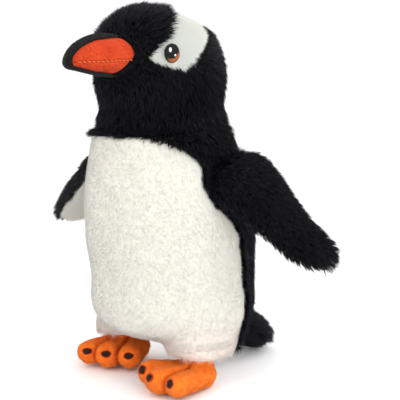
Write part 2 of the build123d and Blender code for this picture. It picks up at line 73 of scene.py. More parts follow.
TOES = {"left": [(-17.6, 28.0, 8.4, -9.0), (0.2, 31.0, 8.9, -1.0), (15.2, 25.5, 7.8, 1.0)],
        "right": [(-15.8, 32.0, 8.5, -7.5), (-0.6, 32.5, 9.0, -0.5), (15.2, 30.0, 8.4, 5.5)]}
LEGS = {"left": ((36.0, -3.0, 19.8, 20.0), (31.5, 3.0, 21.5, 25.0)),
        "right": ((-47.6, 0.6, 20.4, 20.6), (-34.0, 4.0, 21.5, 25.0))}
EYE_AT, EYE_TURN, EYE_LEAN = np.array((36.4, -27.0 + BY, 219.6)), math.radians(60), 0.20


# ------------------------------------------------------------------ small maths
def unit(v):
    v = np.asarray(v, float)
    return v / np.maximum(np.linalg.norm(v, axis=-1, keepdims=True), 1e-9)


def spline(x, y):
    x, y = np.asarray(x, float), np.asarray(y, float)
    n, h = len(x), np.diff(x)
    a, b = np.zeros((n, n)), np.zeros(n)
    a[0, 0] = a[-1, -1] = 1
    for i in range(1, n - 1):
        a[i, i - 1:i + 2] = h[i - 1], 2 * (h[i - 1] + h[i]), h[i]
        b[i] = 3 * ((y[i + 1] - y[i]) / h[i] - (y[i] - y[i - 1]) / h[i - 1])
    c = np.linalg.solve(a, b)

    def f(t):
        t = np.clip(np.asarray(t, float), x[0], x[-1])
        i = np.clip(np.searchsorted(x, t) - 1, 0, n - 2)
        d = t - x[i]
        s = (y[i + 1] - y[i]) / h[i] - h[i] * (2 * c[i] + c[i + 1]) / 3
        return y[i] + s * d + c[i] * d * d + (c[i + 1] - c[i]) / (3 * h[i]) * d ** 3
    return f


def table(rows):
    r = np.array(rows, float)
    return [spline(r[:, 0], r[:, k]) for k in range(1, r.shape[1])]


T_CY, T_RX, T_RY = table(TORSO)
H_CY, H_RX, H_RY = table(HEAD)
BELLY_Y = lambda z: np.interp(z, (51, 60, 80, 90, 98, 117, 127, 136, 143, 150, 158), (3.2, 2.6, 0.0, 0.4, 0.8, 3.4, 0.6, -1.8, -0.4, 2.2, 1.5)) + np.interp(z - COLLAR * smooth(z, 118, 140), [e[1] for e in BELLY_EDGE], [e[0] for e in BELLY_EDGE])
COLLAR = 0.5


def smooth(x, a, b):
    t = np.clip((x - a) / (b - a), 0, 1)
    return t * t * (3 - 2 * t)


def lumps(p, size, seed):
    # cheap smooth noise in -1..1 from a few seeded waves
    g = np.random.default_rng(seed)
    out = np.zeros(len(p))
    for _ in range(7):
        k = unit(g.normal(size=3)) * 2 * math.pi / (size * g.uniform(0.7, 1.5))
        out += np.sin(p @ k + g.uniform(0, 6.28))
    return out / 3.2


# ------------------------------------------------------------------ meshes
def mesh_object(name, verts, faces, uv=None, flat=False):
    me = bpy.data.meshes.new(name)
    faces = np.asarray(faces, np.int32)
    k = faces.shape[1]
    me.vertices.add(len(verts))
    me.vertices.foreach_set("co", (np.asarray(verts, float) * MM).ravel())
    me.loops.add(faces.size)
    me.loops.foreach_set("vertex_index", faces.ravel())
    me.polygons.add(len(faces))
    me.polygons.foreach_set("loop_start", np.arange(0, faces.size, k, dtype=np.int32))
    me.update(calc_edges=True)
    me.polygons.foreach_set("use_smooth", np.full(len(faces), not flat))
    if uv is not None:
        layer = me.uv_layers.new(name="OFBake")
        layer.data.foreach_set("uv", np.asarray(uv, float)[faces.ravel()].ravel())
    ob = bpy.data.objects.new(name, me)
    bpy.context.scene.collection.objects.link(ob)
    return ob


def tube_stack(centres, u, v, hu, hv, seg=48):
    # closed skin through elliptical rings
    t = np.linspace(0, 2 * np.pi, seg, endpoint=False)
    rings = centres[:, None, :] + u[:, None, :] * (hu[:, None, None] * np.cos(t)[None, :, None]) \
        + v[:, None, :] * (hv[:, None, None] * np.sin(t)[None, :, None])
    n = len(centres)
    verts = np.concatenate([rings.reshape(-1, 3), centres[:1], centres[-1:]])
    faces = []
    for i in range(n - 1):
        for j in range(seg):
            a, b = i * seg + j, i * seg + (j + 1) % seg
            faces.append((a, b, b + seg, a + seg))
    for j in range(seg):
        faces.append((n * seg, (j + 1) % seg, j, j))
        q = (n - 1) * seg
        faces.append((n * seg + 1, q + j, q + (j + 1) % seg, q + (j + 1) % seg))
    return verts, faces


def raw_object(name, groups):
    verts, faces, base = [], [], 0
    for v, f in groups:
        verts += [tuple(p) for p in np.asarray(v) * MM]
        for q in f:
            q = tuple(int(i) + base for i in q)
            faces.append(q[:3] if q[2] == q[3] else q)
        base += len(v)
    me = bpy.data.meshes.new(name)
    me.from_pydata(verts, [], faces)
    me.update()
    ob = bpy.data.objects.new(name, me)
    bpy.context.scene.collection.objects.link(ob)
    return ob


def apply_modifiers(ob):
    dg = bpy.context.evaluated_depsgraph_get()
    me = bpy.data.meshes.new_from_object(ob.evaluated_get(dg))
    ob.modifiers.clear()
    old, ob.data = ob.data, me
    bpy.data.meshes.remove(old)
    return ob


def coords(me):
    a = np.empty(len(me.vertices) * 3)
    me.vertices.foreach_get("co", a)
    return a.reshape(-1, 3) / MM


def set_coords(me, p):
    me.vertices.foreach_set("co", (p * MM).ravel())
    me.update()


def normals(me):
    a = np.empty(len(me.vertices) * 3)
    me.vertices.foreach_get("normal", a)
    return a.reshape(-1, 3)


def puff(ob, voxel, pin, cap, pressure=4.0, frames=18, relax=4, settle=2):
    """Voxel remesh, then a short cloth run under pressure with the seams held, then one subdivision."""
    m = ob.modifiers.new("remesh", "REMESH")
    m.mode, m.voxel_size, m.use_smooth_shade = "VOXEL", voxel * MM, True
    apply_modifiers(ob)
    if relax:
        s = ob.modifiers.new("relax", "SMOOTH")
        s.factor, s.iterations = 0.5, relax
        apply_modifiers(ob)
    start = coords(ob.data)
    hold = pin(start)
    g = ob.vertex_groups.new(name="seam")
    for w in (0.25, 0.5, 0.75, 1.0):
        idx = np.nonzero(hold >= w - 0.125)[0]
        g.add([int(i) for i in idx], float(w), "REPLACE")
    c = ob.modifiers.new("cloth", "CLOTH")
    s = c.settings
    s.quality = 4
    s.mass = 0.3
    s.tension_stiffness = s.compression_stiffness = 12
    s.shear_stiffness = 6
    s.bending_stiffness = 0.6
    s.use_pressure = True
    s.uniform_pressure_force = pressure
    s.effector_weights.gravity = 0
    s.vertex_group_mass = "seam"
    s.pin_stiffness = 1.0
    c.collision_settings.use_collision = False
    c.collision_settings.use_self_collision = False
    c.point_cache.frame_start, c.point_cache.frame_end = 1, frames
    sc = bpy.context.scene
    for f in range(1, frames + 1):
        sc.frame_set(f)
    dg = bpy.context.evaluated_depsgraph_get()
    done = coords(ob.evaluated_get(dg).data)
    ob.modifiers.clear()
    sc.frame_set(1)
    d = done - start
    far = np.linalg.norm(d, axis=1, keepdims=True)
    d *= np.minimum(1, cap / np.maximum(far, 1e-6))
    d[~np.isfinite(d).all(axis=1)] = 0
    set_coords(ob.data, start + d)
    s = ob.modifiers.new("relax", "SMOOTH")
    s.factor, s.iterations = 0.5, settle
    apply_modifiers(ob)
    s = ob.modifiers.new("sub", "SUBSURF")
    s.levels = s.render_levels = 1
    apply_modifiers(ob)
    return ob


def quads_of(me):
    me.calc_loop_triangles()
    n = np.empty(len(me.polygons), np.int32)
    me.polygons.foreach_get("loop_total", n)
    if (n == 4).all():
        f = np.empty(len(me.polygons) * 4, np.int32)
        me.loops.foreach_get("vertex_index", f)
        return f.reshape(-1, 4)
    raise RuntimeError("expected quads")


def panel(name, me, keep, thick, push=0.0):
    """The kept faces of a padded body as a closed cover of its own thickness, lying just outside it."""
    p, n, f = coords(me), normals(me), quads_of(me)[keep]
    used, inv = np.unique(f, return_inverse=True)
    f = inv.reshape(-1, 4)
    p, n = p[used], n[used]
    k = len(used)
    verts = np.concatenate([p + n * push, p + n * (push - thick)])
    e = np.concatenate([f[:, [0, 1]], f[:, [1, 2]], f[:, [2, 3]], f[:, [3, 0]]])
    key = np.sort(e, axis=1)
    _, first, count = np.unique(key[:, 0] * (k + 1) + key[:, 1], return_index=True, return_counts=True)
    rim = e[first[count == 1]]
    walls = np.stack([rim[:, 1], rim[:, 0], rim[:, 0] + k, rim[:, 1] + k], 1)
    return mesh_object(name, verts, np.concatenate([f, f[:, ::-1] + k, walls]))


def scatter(me, keep, density, rng, push=0.0):
    p, n, f = coords(me), normals(me), quads_of(me)[keep]
    tri = np.concatenate([f[:, [0, 1, 2]], f[:, [0, 2, 3]]])
    a = p[tri]
    area = 0.5 * np.linalg.norm(np.cross(a[:, 1] - a[:, 0], a[:, 2] - a[:, 0]), axis=1)
    count = int(area.sum() * density)
    pick = tri[rng.choice(len(tri), count, p=area / area.sum())]
    r1, r2 = np.sqrt(rng.random(count))[:, None], rng.random(count)[:, None]
    w = (1 - r1, r1 * (1 - r2), r1 * r2)
    pos = sum(p[pick[:, k]] * w[k] for k in range(3))
    nor = unit(sum(n[pick[:, k]] * w[k] for k in range(3)))
    return pos + nor * push, nor


def strands(name, P, N, comb, length, width, lean, rng, tint, clump=0.0, cell=4.0, jitter=0.25, cloth=0.0, form=None,
            droop=0.0, long=True, cap=19900, ruffle=0.35):
    """Every fibre tuft is a thin closed spike. comb is the way it is brushed, lean how far it lies over."""
    if len(P) > cap:
        sel = rng.choice(len(P), cap, replace=False)
        P, N, comb, tint = P[sel], N[sel], comb[sel], tint[sel]
        form = form[sel] if form is not None else None
        length = length[sel] if np.ndim(length) else length
        lean = lean[sel] if np.ndim(lean) else lean
    m = len(P)
    length = np.broadcast_to(length, (m,)) * rng.uniform(0.72, 1.15, m)
    lean = np.broadcast_to(lean, (m,)) * rng.uniform(1 - ruffle, 1.15, m)
    T = comb - N * (comb * N).sum(1, keepdims=True)
    T = unit(unit(T) + rng.normal(size=(m, 3)) * jitter)
    T = unit(T - N * (T * N).sum(1, keepdims=True))
    d0 = unit(N * np.cos(lean)[:, None] + T * np.sin(lean)[:, None])
    lean2 = np.minimum(lean * 1.25 + 0.12, 1.5)
    d1 = unit(N * np.cos(lean2)[:, None] + T * np.sin(lean2)[:, None] + np.array((0, 0, -droop)))
    mid = P + d0 * (length * 0.5)[:, None]
    tip = mid + d1 * (length * 0.5)[:, None]
    if clump:
        key = np.floor((P + lumps(P, 9, 5)[:, None] * 1.5) / cell).astype(np.int64)
        _, inv = np.unique(key, axis=0, return_inverse=True)
        inv = inv.ravel()
        cnt = np.bincount(inv)[inv][:, None]
        mean = np.stack([np.bincount(inv, tip[:, k])[inv] for k in range(3)], 1) / cnt
        pull = (clump * rng.uniform(0.4, 1.2, m))[:, None]
        tip = tip + (mean - tip) * pull
        mid = mid + (mean - tip) * pull * 0.18
    e1 = unit(np.cross(d0, rng.normal(size=(m, 3))))
    e2 = np.cross(d0, e1)
    w = np.broadcast_to(width, (m,)) * rng.uniform(0.75, 1.25, m)
    band = rng.integers(0, 8, m)
    u = (band + np.clip(tint, 0.06, 0.94)) / 8
    ring = []
    for a in (0, 2.0944, 4.18879):
        ring.append((e1 * math.cos(a) + e2 * math.sin(a)) * (w * 0.5)[:, None])
    P = P - N * 0.4
    if long:
        v = np.stack([P + ring[0], P + ring[1], P + ring[2], mid + ring[0] * 0.8, mid + ring[1] * 0.8,
                      mid + ring[2] * 0.8, tip], 1)
        pat = np.array([(0, 1, 4), (0, 4, 3), (1, 2, 5), (1, 5, 4), (2, 0, 3), (2, 3, 5),
                        (3, 4, 6), (4, 5, 6), (5, 3, 6), (0, 2, 1)])
        vv, du = [0.02, 0.02, 0.02, 0.5, 0.5, 0.5, 0.98], [-1, 1, 0, -1, 1, 0, 0]
    else:
        v = np.stack([P + ring[0], P + ring[1], P + ring[2], tip], 1)
        pat = np.array([(0, 1, 3), (1, 2, 3), (2, 0, 3), (0, 2, 1)])
        vv, du = [0.02, 0.02, 0.02, 0.98], [-1, 1, 0, 0]
    v[..., 2] = np.maximum(v[..., 2], 0.15)
    k = v.shape[1]
    faces = (pat[None] + (np.arange(m) * k)[:, None, None]).reshape(-1, 3)
    uv = np.stack([u[:, None] + np.array(du)[None] * 0.004, np.broadcast_to(np.array(vv), (m, k))], 2)
    ob = mesh_object(name, v.reshape(-1, 3), faces, uv.reshape(-1, 2))
    if cloth:
        own = normals(ob.data).reshape(m, k, 3)
        ob.data.normals_split_custom_set_from_vertices(unit(own * (1 - cloth) + form[:, None] * cloth).reshape(-1, 3))
    return ob


# ------------------------------------------------------------------ materials
def new_material(name):
    m = bpy.data.materials.new(name)
    m.use_nodes = True
    nt = m.node_tree
    return m, nt, nt.nodes["Principled BSDF"]


def ramp(nt, src, stops):
    r = nt.nodes.new("ShaderNodeValToRGB")
    while len(r.color_ramp.elements) < len(stops):
        r.color_ramp.elements.new(0.5)
    for e, (pos, col) in zip(r.color_ramp.elements, stops):
        e.position, e.color = pos, (*col, 1)
    nt.links.new(src, r.inputs[0])
    return r.outputs[0]


def times(nt, a, b):
    v = nt.nodes.new("ShaderNodeVectorMath")
    v.operation = "MULTIPLY"
    nt.links.new(a, v.inputs[0])
    nt.links.new(b, v.inputs[1])
    return v.outputs[0]


def maths(nt, op, a, b=None):
    n = nt.nodes.new("ShaderNodeMath")
    n.operation = op
    for i, x in enumerate((a, b)):
        if x is None:
            continue
        if hasattr(x, "is_linked"):
            nt.links.new(x, n.inputs[i])
        else:
            n.inputs[i].default_value = x
    return n.outputs[0]


def pile_material(name, tints, along, spread, rough, sheen, specular):
    """Colour of a tuft from its own map: across, eight random shades times a tint; up, painted shade darkening the root
    and painted light brightening the tip.
    """
    m, nt, bsdf = new_material(name)
    uv = nt.nodes.new("ShaderNodeUVMap")
    uv.uv_map = "OFBake"
    sep = nt.nodes.new("ShaderNodeSeparateXYZ")
    nt.links.new(uv.outputs[0], sep.inputs[0])
    x8 = maths(nt, "MULTIPLY", sep.outputs[0], 8.0)
    band = maths(nt, "FLOOR", x8)
    hashed = maths(nt, "FRACT", maths(nt, "MULTIPLY", band, 0.6180339))
    shade = ramp(nt, hashed, [(0.0, (spread[0],) * 3), (1.0, (spread[1],) * 3)])
    col = times(nt, ramp(nt, maths(nt, "FRACT", x8), tints), shade)
    # root to tip ramp: painted shade at the root between fibres, painted highlight towards the tip
    col = times(nt, col, ramp(nt, sep.outputs[1], along))
    nt.links.new(col, bsdf.inputs["Base Color"])
    bsdf.inputs["Roughness"].default_value = rough
    bsdf.inputs["Sheen Weight"].default_value = sheen
    bsdf.inputs["Sheen Roughness"].default_value = 0.4
    bsdf.inputs["Specular IOR Level"].default_value = specular
    return m


def backing_material(name, dark, light, scale=900.0, rough=0.9, bump=0.25, attr=None, tints=None, sheen=0.3,
                     spread=(0.72, 1.12)):
    """Knitted or felted backing: mottled colour, a fine loop bump, an optional painted tint."""
    m, nt, bsdf = new_material(name)
    tc = nt.nodes.new("ShaderNodeTexCoord")
    big = nt.nodes.new("ShaderNodeTexNoise")
    big.inputs["Scale"].default_value, big.inputs["Detail"].default_value = scale / 12, 5
    fine = nt.nodes.new("ShaderNodeTexNoise")
    fine.inputs["Scale"].default_value, fine.inputs["Detail"].default_value = scale, 3
    for n in (big, fine):
        nt.links.new(tc.outputs["Object"], n.inputs["Vector"])
    mix = maths(nt, "ADD", maths(nt, "MULTIPLY", big.outputs[0], 0.6), maths(nt, "MULTIPLY", fine.outputs[0], 0.4))
    col = ramp(nt, mix, [(0.32, dark), (0.68, light)])
    if attr:
        a = nt.nodes.new("ShaderNodeAttribute")
        a.attribute_name = attr
        painted = ramp(nt, a.outputs["Fac"], tints)
        col = times(nt, painted, ramp(nt, mix, [(0.3, (spread[0],) * 3), (0.7, (spread[1],) * 3)]))
    nt.links.new(col, bsdf.inputs["Base Color"])
    b = nt.nodes.new("ShaderNodeBump")
    b.inputs["Strength"].default_value, b.inputs["Distance"].default_value = bump, 0.0006
    nt.links.new(fine.outputs[0], b.inputs["Height"])
    nt.links.new(b.outputs[0], bsdf.inputs["Normal"])
    bsdf.inputs["Roughness"].default_value = rough
    bsdf.inputs["Sheen Weight"].default_value = sheen
    bsdf.inputs["Specular IOR Level"].default_value = 0.25
    return m


def thread_material(name, dark, light, rough=0.45):
    m, nt, bsdf = new_material(name)
    tc = nt.nodes.new("ShaderNodeTexCoord")
    w = nt.nodes.new("ShaderNodeTexWave")
    w.inputs["Scale"].default_value = 1400
    w.inputs["Distortion"].default_value = 2.0
    nt.links.new(tc.outputs["Object"], w.inputs["Vector"])
    nt.links.new(ramp(nt, w.outputs["Fac"], [(0.2, dark), (0.8, light)]), bsdf.inputs["Base Color"])
    b = nt.nodes.new("ShaderNodeBump")
    b.inputs["Strength"].default_value, b.inputs["Distance"].default_value = 0.3, 0.0002
    nt.links.new(w.outputs["Fac"], b.inputs["Height"])
    nt.links.new(b.outputs[0], bsdf.inputs["Normal"])
    bsdf.inputs["Roughness"].default_value = rough
    bsdf.inputs["Specular IOR Level"].default_value = 0.2
    return m


# foot ramp: light to deep orange, red to dark red-brown for the painted shade in the creases and under the hem, dark
# brown for the printed dots
FOOT_TINTS_AND_CREASE_SHADE = [(0.0, (0.95, 0.27, 0.030)), (0.3, (0.93, 0.175, 0.011)), (0.55, (0.74, 0.088, 0.006)),
              (0.72, (0.34, 0.034, 0.005)), (0.9, (0.030, 0.011, 0.007))]
# black pile: its root to tip ramp (0.2 to 2.7) is strong painted shade at the roots and a painted highlight on the tips
BLACK = pile_material("black_long_pile", [(0, (0.0023, 0.0023, 0.0035)), (1, (0.0050, 0.0050, 0.0074))],
                      [(0, (0.2,) * 3), (0.55, (0.75,) * 3), (1, (2.7,) * 3)], (0.35, 1.9), 0.48, 0.0, 0.14)
WHITE = pile_material("white_short_pile", [(0, (0.875, 0.847, 0.745)), (0.5, (0.90, 0.835, 0.74)), (1, (0.94, 0.74, 0.64))],
                      [(0, (0.95, 0.945, 0.93)), (0.4, (0.99,) * 3), (1, (1.01,) * 3)], (0.98, 1.02), 0.95, 0.05, 0.05)
ORANGE = pile_material("orange_short_pile", FOOT_TINTS_AND_CREASE_SHADE, [(0, (0.8,) * 3), (1, (1.06,) * 3)], (0.88, 1.08), 0.85, 0.15, 0.15)
# the dark end of the felt ramp carries the painted shade under the mouth line
FELT = pile_material("orange_felt_fuzz", [(0, (0.78, 0.078, 0.013)), (0.5, (0.64, 0.050, 0.009)), (1, (0.34, 0.020, 0.005))],
                     [(0, (0.85,) * 3), (1, (1.06,) * 3)], (0.66, 1.30), 0.9, 0.05, 0.08)
VELOUR = pile_material("black_velour_nap", [(0, (0.005, 0.005, 0.006)), (1, (0.009, 0.009, 0.010))],
                       [(0, (0.6,) * 3), (1, (1.4,) * 3)], (0.7, 1.3), 0.6, 0.08, 0.25)
# belly, base and legs: a darker copy of the white plush pile, painted shade on the same fabric as the eye band
BELLY = pile_material("belly_short_pile_painted_shade", [(0, (0.72, 0.70, 0.625)), (0.5, (0.75, 0.70, 0.635)), (1, (0.85, 0.70, 0.62))],
                      [(0, (0.97, 0.97, 0.96)), (0.4, (0.99,) * 3), (1, (1.01,) * 3)], (0.98, 1.02), 0.95, 0.05, 0.05)
for m_ in (WHITE, BELLY):
    b_ = m_.node_tree.nodes["Principled BSDF"]
    b_.inputs["Subsurface Weight"].default_value = 0.3
    b_.inputs["Subsurface Scale"].default_value = 0.002
BACK_BLACK = backing_material("black_backing", (0.0030, 0.0030, 0.0035), (0.006, 0.006, 0.007), sheen=0.03)
BACK_WHITE = backing_material("white_backing", (0.86, 0.83, 0.76), (0.93, 0.90, 0.84))
# a darker copy of the white backing for the belly, base and legs: painted shade
BACK_BELLY = backing_material("belly_backing_painted_shade", (0.86, 0.83, 0.76), (0.93, 0.90, 0.84), attr="tint", bump=0.12, sheen=0.1,
                              tints=[(0, (0.665, 0.650, 0.580)), (0.5, (0.70, 0.655, 0.590)), (1, (0.80, 0.66, 0.585))],
                              spread=(0.97, 1.02))
BACK_ORANGE = backing_material("orange_backing", (0.6, 0.15, 0.02), (0.9, 0.3, 0.05), attr="tint", tints=FOOT_TINTS_AND_CREASE_SHADE, sheen=0.1)
BACK_FELT = backing_material("orange_felt", (0.46, 0.042, 0.011), (0.66, 0.085, 0.023), scale=1300, bump=0.5, sheen=0.1)
BACK_VELOUR = backing_material("black_velour", (0.003, 0.003, 0.0035), (0.008, 0.008, 0.009), scale=1500, sheen=0.05)
FIBRE = backing_material("fibre_fill", (0.82, 0.82, 0.82), (0.95, 0.95, 0.95), scale=400, bump=0.6)
TH_BLACK = thread_material("black_satin_thread", (0.003, 0.003, 0.0035), (0.010, 0.0095, 0.011), 0.5)
TH_BROWN = thread_material("brown_satin_thread", (0.20, 0.055, 0.014), (0.42, 0.135, 0.040), 0.4)
TH_WHITE = thread_material("white_satin_thread", (0.75, 0.75, 0.76), (0.95, 0.95, 0.95), 0.4)
TH_RED = thread_material("orange_stitch_thread", (0.62, 0.10, 0.024), (0.85, 0.19, 0.06), 0.55)


def dress(ob, material, body=None, nodes=(), blend=None):
    ob.data.materials.clear()
    ob.data.materials.append(material)
    if blend:
        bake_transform(ob)
    else:
        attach(ob, body)
    for n in nodes:
        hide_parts(n)
    return ob


# ------------------------------------------------------------------ camera, light, floor
def build_stage():
    sc = bpy.context.scene
    az = math.radians(48)
    T = np.array((0, BY, 130.4))
    C = T + np.array((math.sin(az) * 758, -math.cos(az) * 758, 123.3))
    f = unit(T - C)
    r = unit(np.cross(f, (0, 0, 1)))
    u = np.cross(r, f)
    aim = unit(f + r * (200 - 166) / 1156 - u * (200 - 185) / 1156)
    cam = bpy.data.objects.new("camera", bpy.data.cameras.new("camera"))
    sc.collection.objects.link(cam)
    cam.location = C * MM
    cam.rotation_euler = Vector(aim).to_track_quat("-Z", "Y").to_euler()
    cam.data.sensor_width, cam.data.lens = 36, 1156 / 400 * 36
    cam.data.clip_start, cam.data.clip_end = 0.02, 50
    sc.camera = cam
    floor = mesh_object("floor", np.array([(-9e3, -9e3, -0.15), (9e3, -9e3, -0.15), (9e3, 9e3, -0.15), (-9e3, 9e3, -0.15)]),
                        [(0, 1, 2, 3)])
    m, nt, b = new_material("pale_floor")
    b.inputs["Base Color"].default_value = (0.96, 0.96, 0.96, 1)
    b.inputs["Roughness"].default_value = 0.8
    floor.data.materials.append(m)
    w = bpy.data.worlds.new("studio")
    sc.world = w
    w.use_nodes = True
    w.node_tree.nodes["Background"].inputs[0].default_value = (1, 1, 1, 1)
    w.node_tree.nodes["Background"].inputs[1].default_value = 1.14
    for name, at, size, power, colour in (
            ("key", (0.15, -1.5, 1.35), 1.1, 6.2, (1, 0.985, 0.96)),
            ("low", (0.9, -1.2, 0.16), 0.9, 3.6, (1, 0.99, 0.97)),
            ("fill", (1.6, -0.2, 0.9), 1.4, 12.5, (0.97, 0.98, 1)),
            ("rim", (0.4, 1.4, 1.3), 0.9, 9, (1, 1, 1))):
        l = bpy.data.lights.new(name, "AREA")
        l.size, l.energy, l.color = size, power, colour
        o = bpy.data.objects.new(name, l)
        o.location = at
        o.rotation_euler = (Vector((0, 0, 0.12)) - Vector(at)).to_track_quat("-Z", "Y").to_euler()
        sc.collection.objects.link(o)
    sc.view_settings.view_transform = "Standard"
    sc.view_settings.look = "None"


build_stage()

# ------------------------------------------------------------------ torso and legs
DOWN = np.array((0, 0, -1.0))
HEM = {"left": 22.8, "right": 23.8}


def upright(fs, z, inset):
    cy, rx, ry = fs
    z = np.asarray(z, float)
    c = np.stack([0 * z, cy(z) + BY, z], 1)
    e = np.ones(len(z))[:, None]
    return c, e * (1, 0, 0), e * (0, 1, 0), rx(z) - inset, ry(z) - inset


zs = np.concatenate([[25.2], np.arange(27, 171, 3.0), [171.6]])
c, u, v, hu, hv = upright((T_CY, T_RX, T_RY), zs, 4.2)
low = smooth(zs, 18, 30)
tv, tf = tube_stack(c, u, v, hu, hv, 72)
tv[:, 2] += 6.0 * np.clip((47 - tv[:, 2]) / 18, 0, 1) * smooth(10 - (tv[:, 1] - BY), 0, 30)
parts = [(tv, tf)]
for side, (hem, top) in LEGS.items():
    z = np.linspace(HEM[side], 45, 8)
    t = (z - 11.5) / 34.5
    cx, cy = hem[0] + (top[0] - hem[0]) * t, hem[1] + (top[1] - hem[1]) * t
    flare = 0.6 - 0.8 * smooth(z, HEM[side], HEM[side] + 5) + 1.4 * np.sin(t * np.pi)
    parts.append(tube_stack(np.stack([cx, cy + BY, z], 1), np.ones((8, 1)) * (1, 0, 0), np.ones((8, 1)) * (0, 1, 0),
                            hem[2] + (top[2] - hem[2]) * t - 2.6 + flare, hem[3] + (top[3] - hem[3]) * t - 2.6 + flare, 48))
torso = raw_object("torso_filling", parts)


def torso_seams(p):
    y = p[:, 1] - BY
    edge = np.abs(y - BELLY_Y(p[:, 2])) * 0.8
    edge = np.where((p[:, 2] > 28) & (p[:, 2] < 168), edge, 9)
    collar = np.where(y < -30, np.abs(p[:, 2] - 166.2), 9)
    back = np.where(y > 20, np.abs(p[:, 0]), 9)
    ends = np.where(p[:, 2] < np.where(p[:, 0] > 0, HEM["left"], HEM["right"]) + 2, 0, 9) + 0.0
    top = np.where(p[:, 2] > 168, 0, 9)
    return np.clip(1.3 - np.minimum.reduce([edge, collar, back, ends, top]) / 2.6, 0, 1)


puff(torso, 3.2, torso_seams, 2.6, pressure=3.0, relax=6, settle=12)
p = coords(torso.data)
n = normals(torso.data)
y = p[:, 1] - BY
black = np.clip(smooth(y - BELLY_Y(p[:, 2]), -2, 5) * smooth(p[:, 2], 27, 33) + smooth(p[:, 2], 164, 169), 0, 1)
p = p - n * (black * 2.7)[:, None] + n * ((1 - black) * (1.0 + 1.3 * smooth(110 - p[:, 2], 0, 25)))[:, None] + n * (lumps(p, 46, 11) * 0.55 + lumps(p, 22, 12) * 0.22)[:, None]
set_coords(torso.data, p)
tm = torso.data
tilt = (p[:, 0] - LEGS["right"][0][0]) * 0.67 + (y - LEGS["right"][0][1]) * 0.74
p[:, 2] += (np.clip(tilt * 0.15, -1.4, 3.2) * (1 - smooth(p[:, 2], 24, 42)) * smooth(-p[:, 0], -2, 8))
set_coords(torso.data, p)
cen = coords(tm)[quads_of(tm)].mean(axis=1)
fn = np.cross(*(coords(tm)[quads_of(tm)][:, k] - coords(tm)[quads_of(tm)][:, 0] for k in (1, 2)))
fn = unit(fn)
cy_ = cen[:, 1] - BY
wob = lumps(cen, 11, 21) * 0.7
belly = (cy_ < BELLY_Y(cen[:, 2]) + wob) & (cen[:, 2] < 166.2 + wob - 0.9 * smooth(-(cen[:, 0] * 0.67 + cy_ * 0.74), 24, 38))
cap_top = (cen[:, 2] > 168.5) & (fn[:, 2] > 0.7)
legs = {}
for side, sg in (("left", 1), ("right", -1)):
    hem, top = LEGS[side]
    t = np.clip((cen[:, 2] - 11.5) / 34.5, 0, 1)
    lx, ly = hem[0] + (top[0] - hem[0]) * t, hem[1] + (top[1] - hem[1]) * t
    near = np.hypot(cen[:, 0] - lx, cy_ - ly)
    legs[side] = (near < 22.0) & (cen[:, 2] < 31) & (np.sign(cen[:, 0]) == sg)
hem_cap = (cen[:, 2] < np.where(cen[:, 0] > 0, HEM["left"], HEM["right"] + 1.4) + 1.6) & (fn[:, 2] < -0.7)
leg_any = legs["left"] | legs["right"]
base = (cen[:, 2] < 40) & (fn[:, 2] < -0.62) & ~leg_any
belly &= ~base & ~leg_any
rest = ~belly & ~base & ~leg_any
yoke = rest & (cen[:, 2] > 130)
back_l, back_r = rest & ~yoke & (cen[:, 0] >= 0), rest & ~yoke & (cen[:, 0] < 0)

rng = np.random.default_rng(2024)


def white_tint_and_bounce(P):
    # warm pink towards the feet: partly the fabric's own tint, partly painted bounce light from the orange feet
    return np.clip(0.95 - 0.93 * smooth(P[:, 2], 19, 64) + lumps(P, 26, 31) * 0.10, 0, 1)


def white_pile(name, me, keep, density, comb, body, nodes, length=1.8, lean=0.5, push=0.0, blend=None,
               mask=None, droop=0.1, width=0.32, cap=49000, jitter=0.6, lens=None, form=None, mat=None):
    P, N = scatter(me, keep, density, rng, push)
    if mask is not None:
        ok = mask(P)
        P, N = P[ok], N[ok]
    L = (1 if lens is None else lens(P)) * length * np.where(rng.random(len(P)) < 0.12, 1.3, 0.92)
    ob = strands(name, P, N, comb(P, N), L, width, lean, rng, white_tint_and_bounce(P), clump=0.0, cell=2.6, jitter=jitter, cloth=0.88,
                 form=form(P, N) if form else N,
                 droop=droop, long=False, cap=cap)
    return dress(ob, mat or WHITE, body, nodes, blend)


def black_pile(name, me, keep, density, comb, body, nodes, length=9.6, lean=0.86, push=0.0, blend=None, mask=None,
               droop=0.15, width=0.5, cap=19900, lens=None, clump=0.42, jitter=0.22, cell=4.2):
    P, N = scatter(me, keep, density, rng, push)
    if mask is not None:
        ok = mask(P)
        P, N = P[ok], N[ok]
    L = length if lens is None else lens(P) * length
    tint = np.clip(0.5 + lumps(P, 25, 41) * 0.3 + rng.normal(size=len(P)) * 0.15, 0, 1)
    ob = strands(name, P, N, comb(P, N), L, width, lean, rng, tint, clump=clump, cell=cell, jitter=jitter, droop=droop,
                 long=True, cap=cap)
    return dress(ob, BLACK, body, nodes, blend)


def down_comb(P, N):
    return DOWN + 0.25 * np.stack([lumps(P, 35, 51), lumps(P, 35, 52), 0 * P[:, 0]], 1)


def back_comb(P, N):
    over = np.exp(-np.clip(P[:, 1] - BY - BELLY_Y(P[:, 2]), 0, 60) / 9)[:, None]
    return down_comb(P, N) + over * np.array((0, -1.1, 0.1))


def torso_form(P, N):
    z = P[:, 2]
    g = np.stack([P[:, 0] / T_RX(z) ** 2, (P[:, 1] - BY - T_CY(z)) / T_RY(z) ** 2, 0 * z], 1)
    g = unit(unit(g) + np.array((0, 0, 1)) * (0.22 * smooth(z, 110, 165) - 0.10 * smooth(-z, -80, -45))[:, None])
    w = smooth(z, 30, 52)[:, None]
    return unit(g * (0.25 + 0.75 * w) + N * 0.75 * (1 - w))


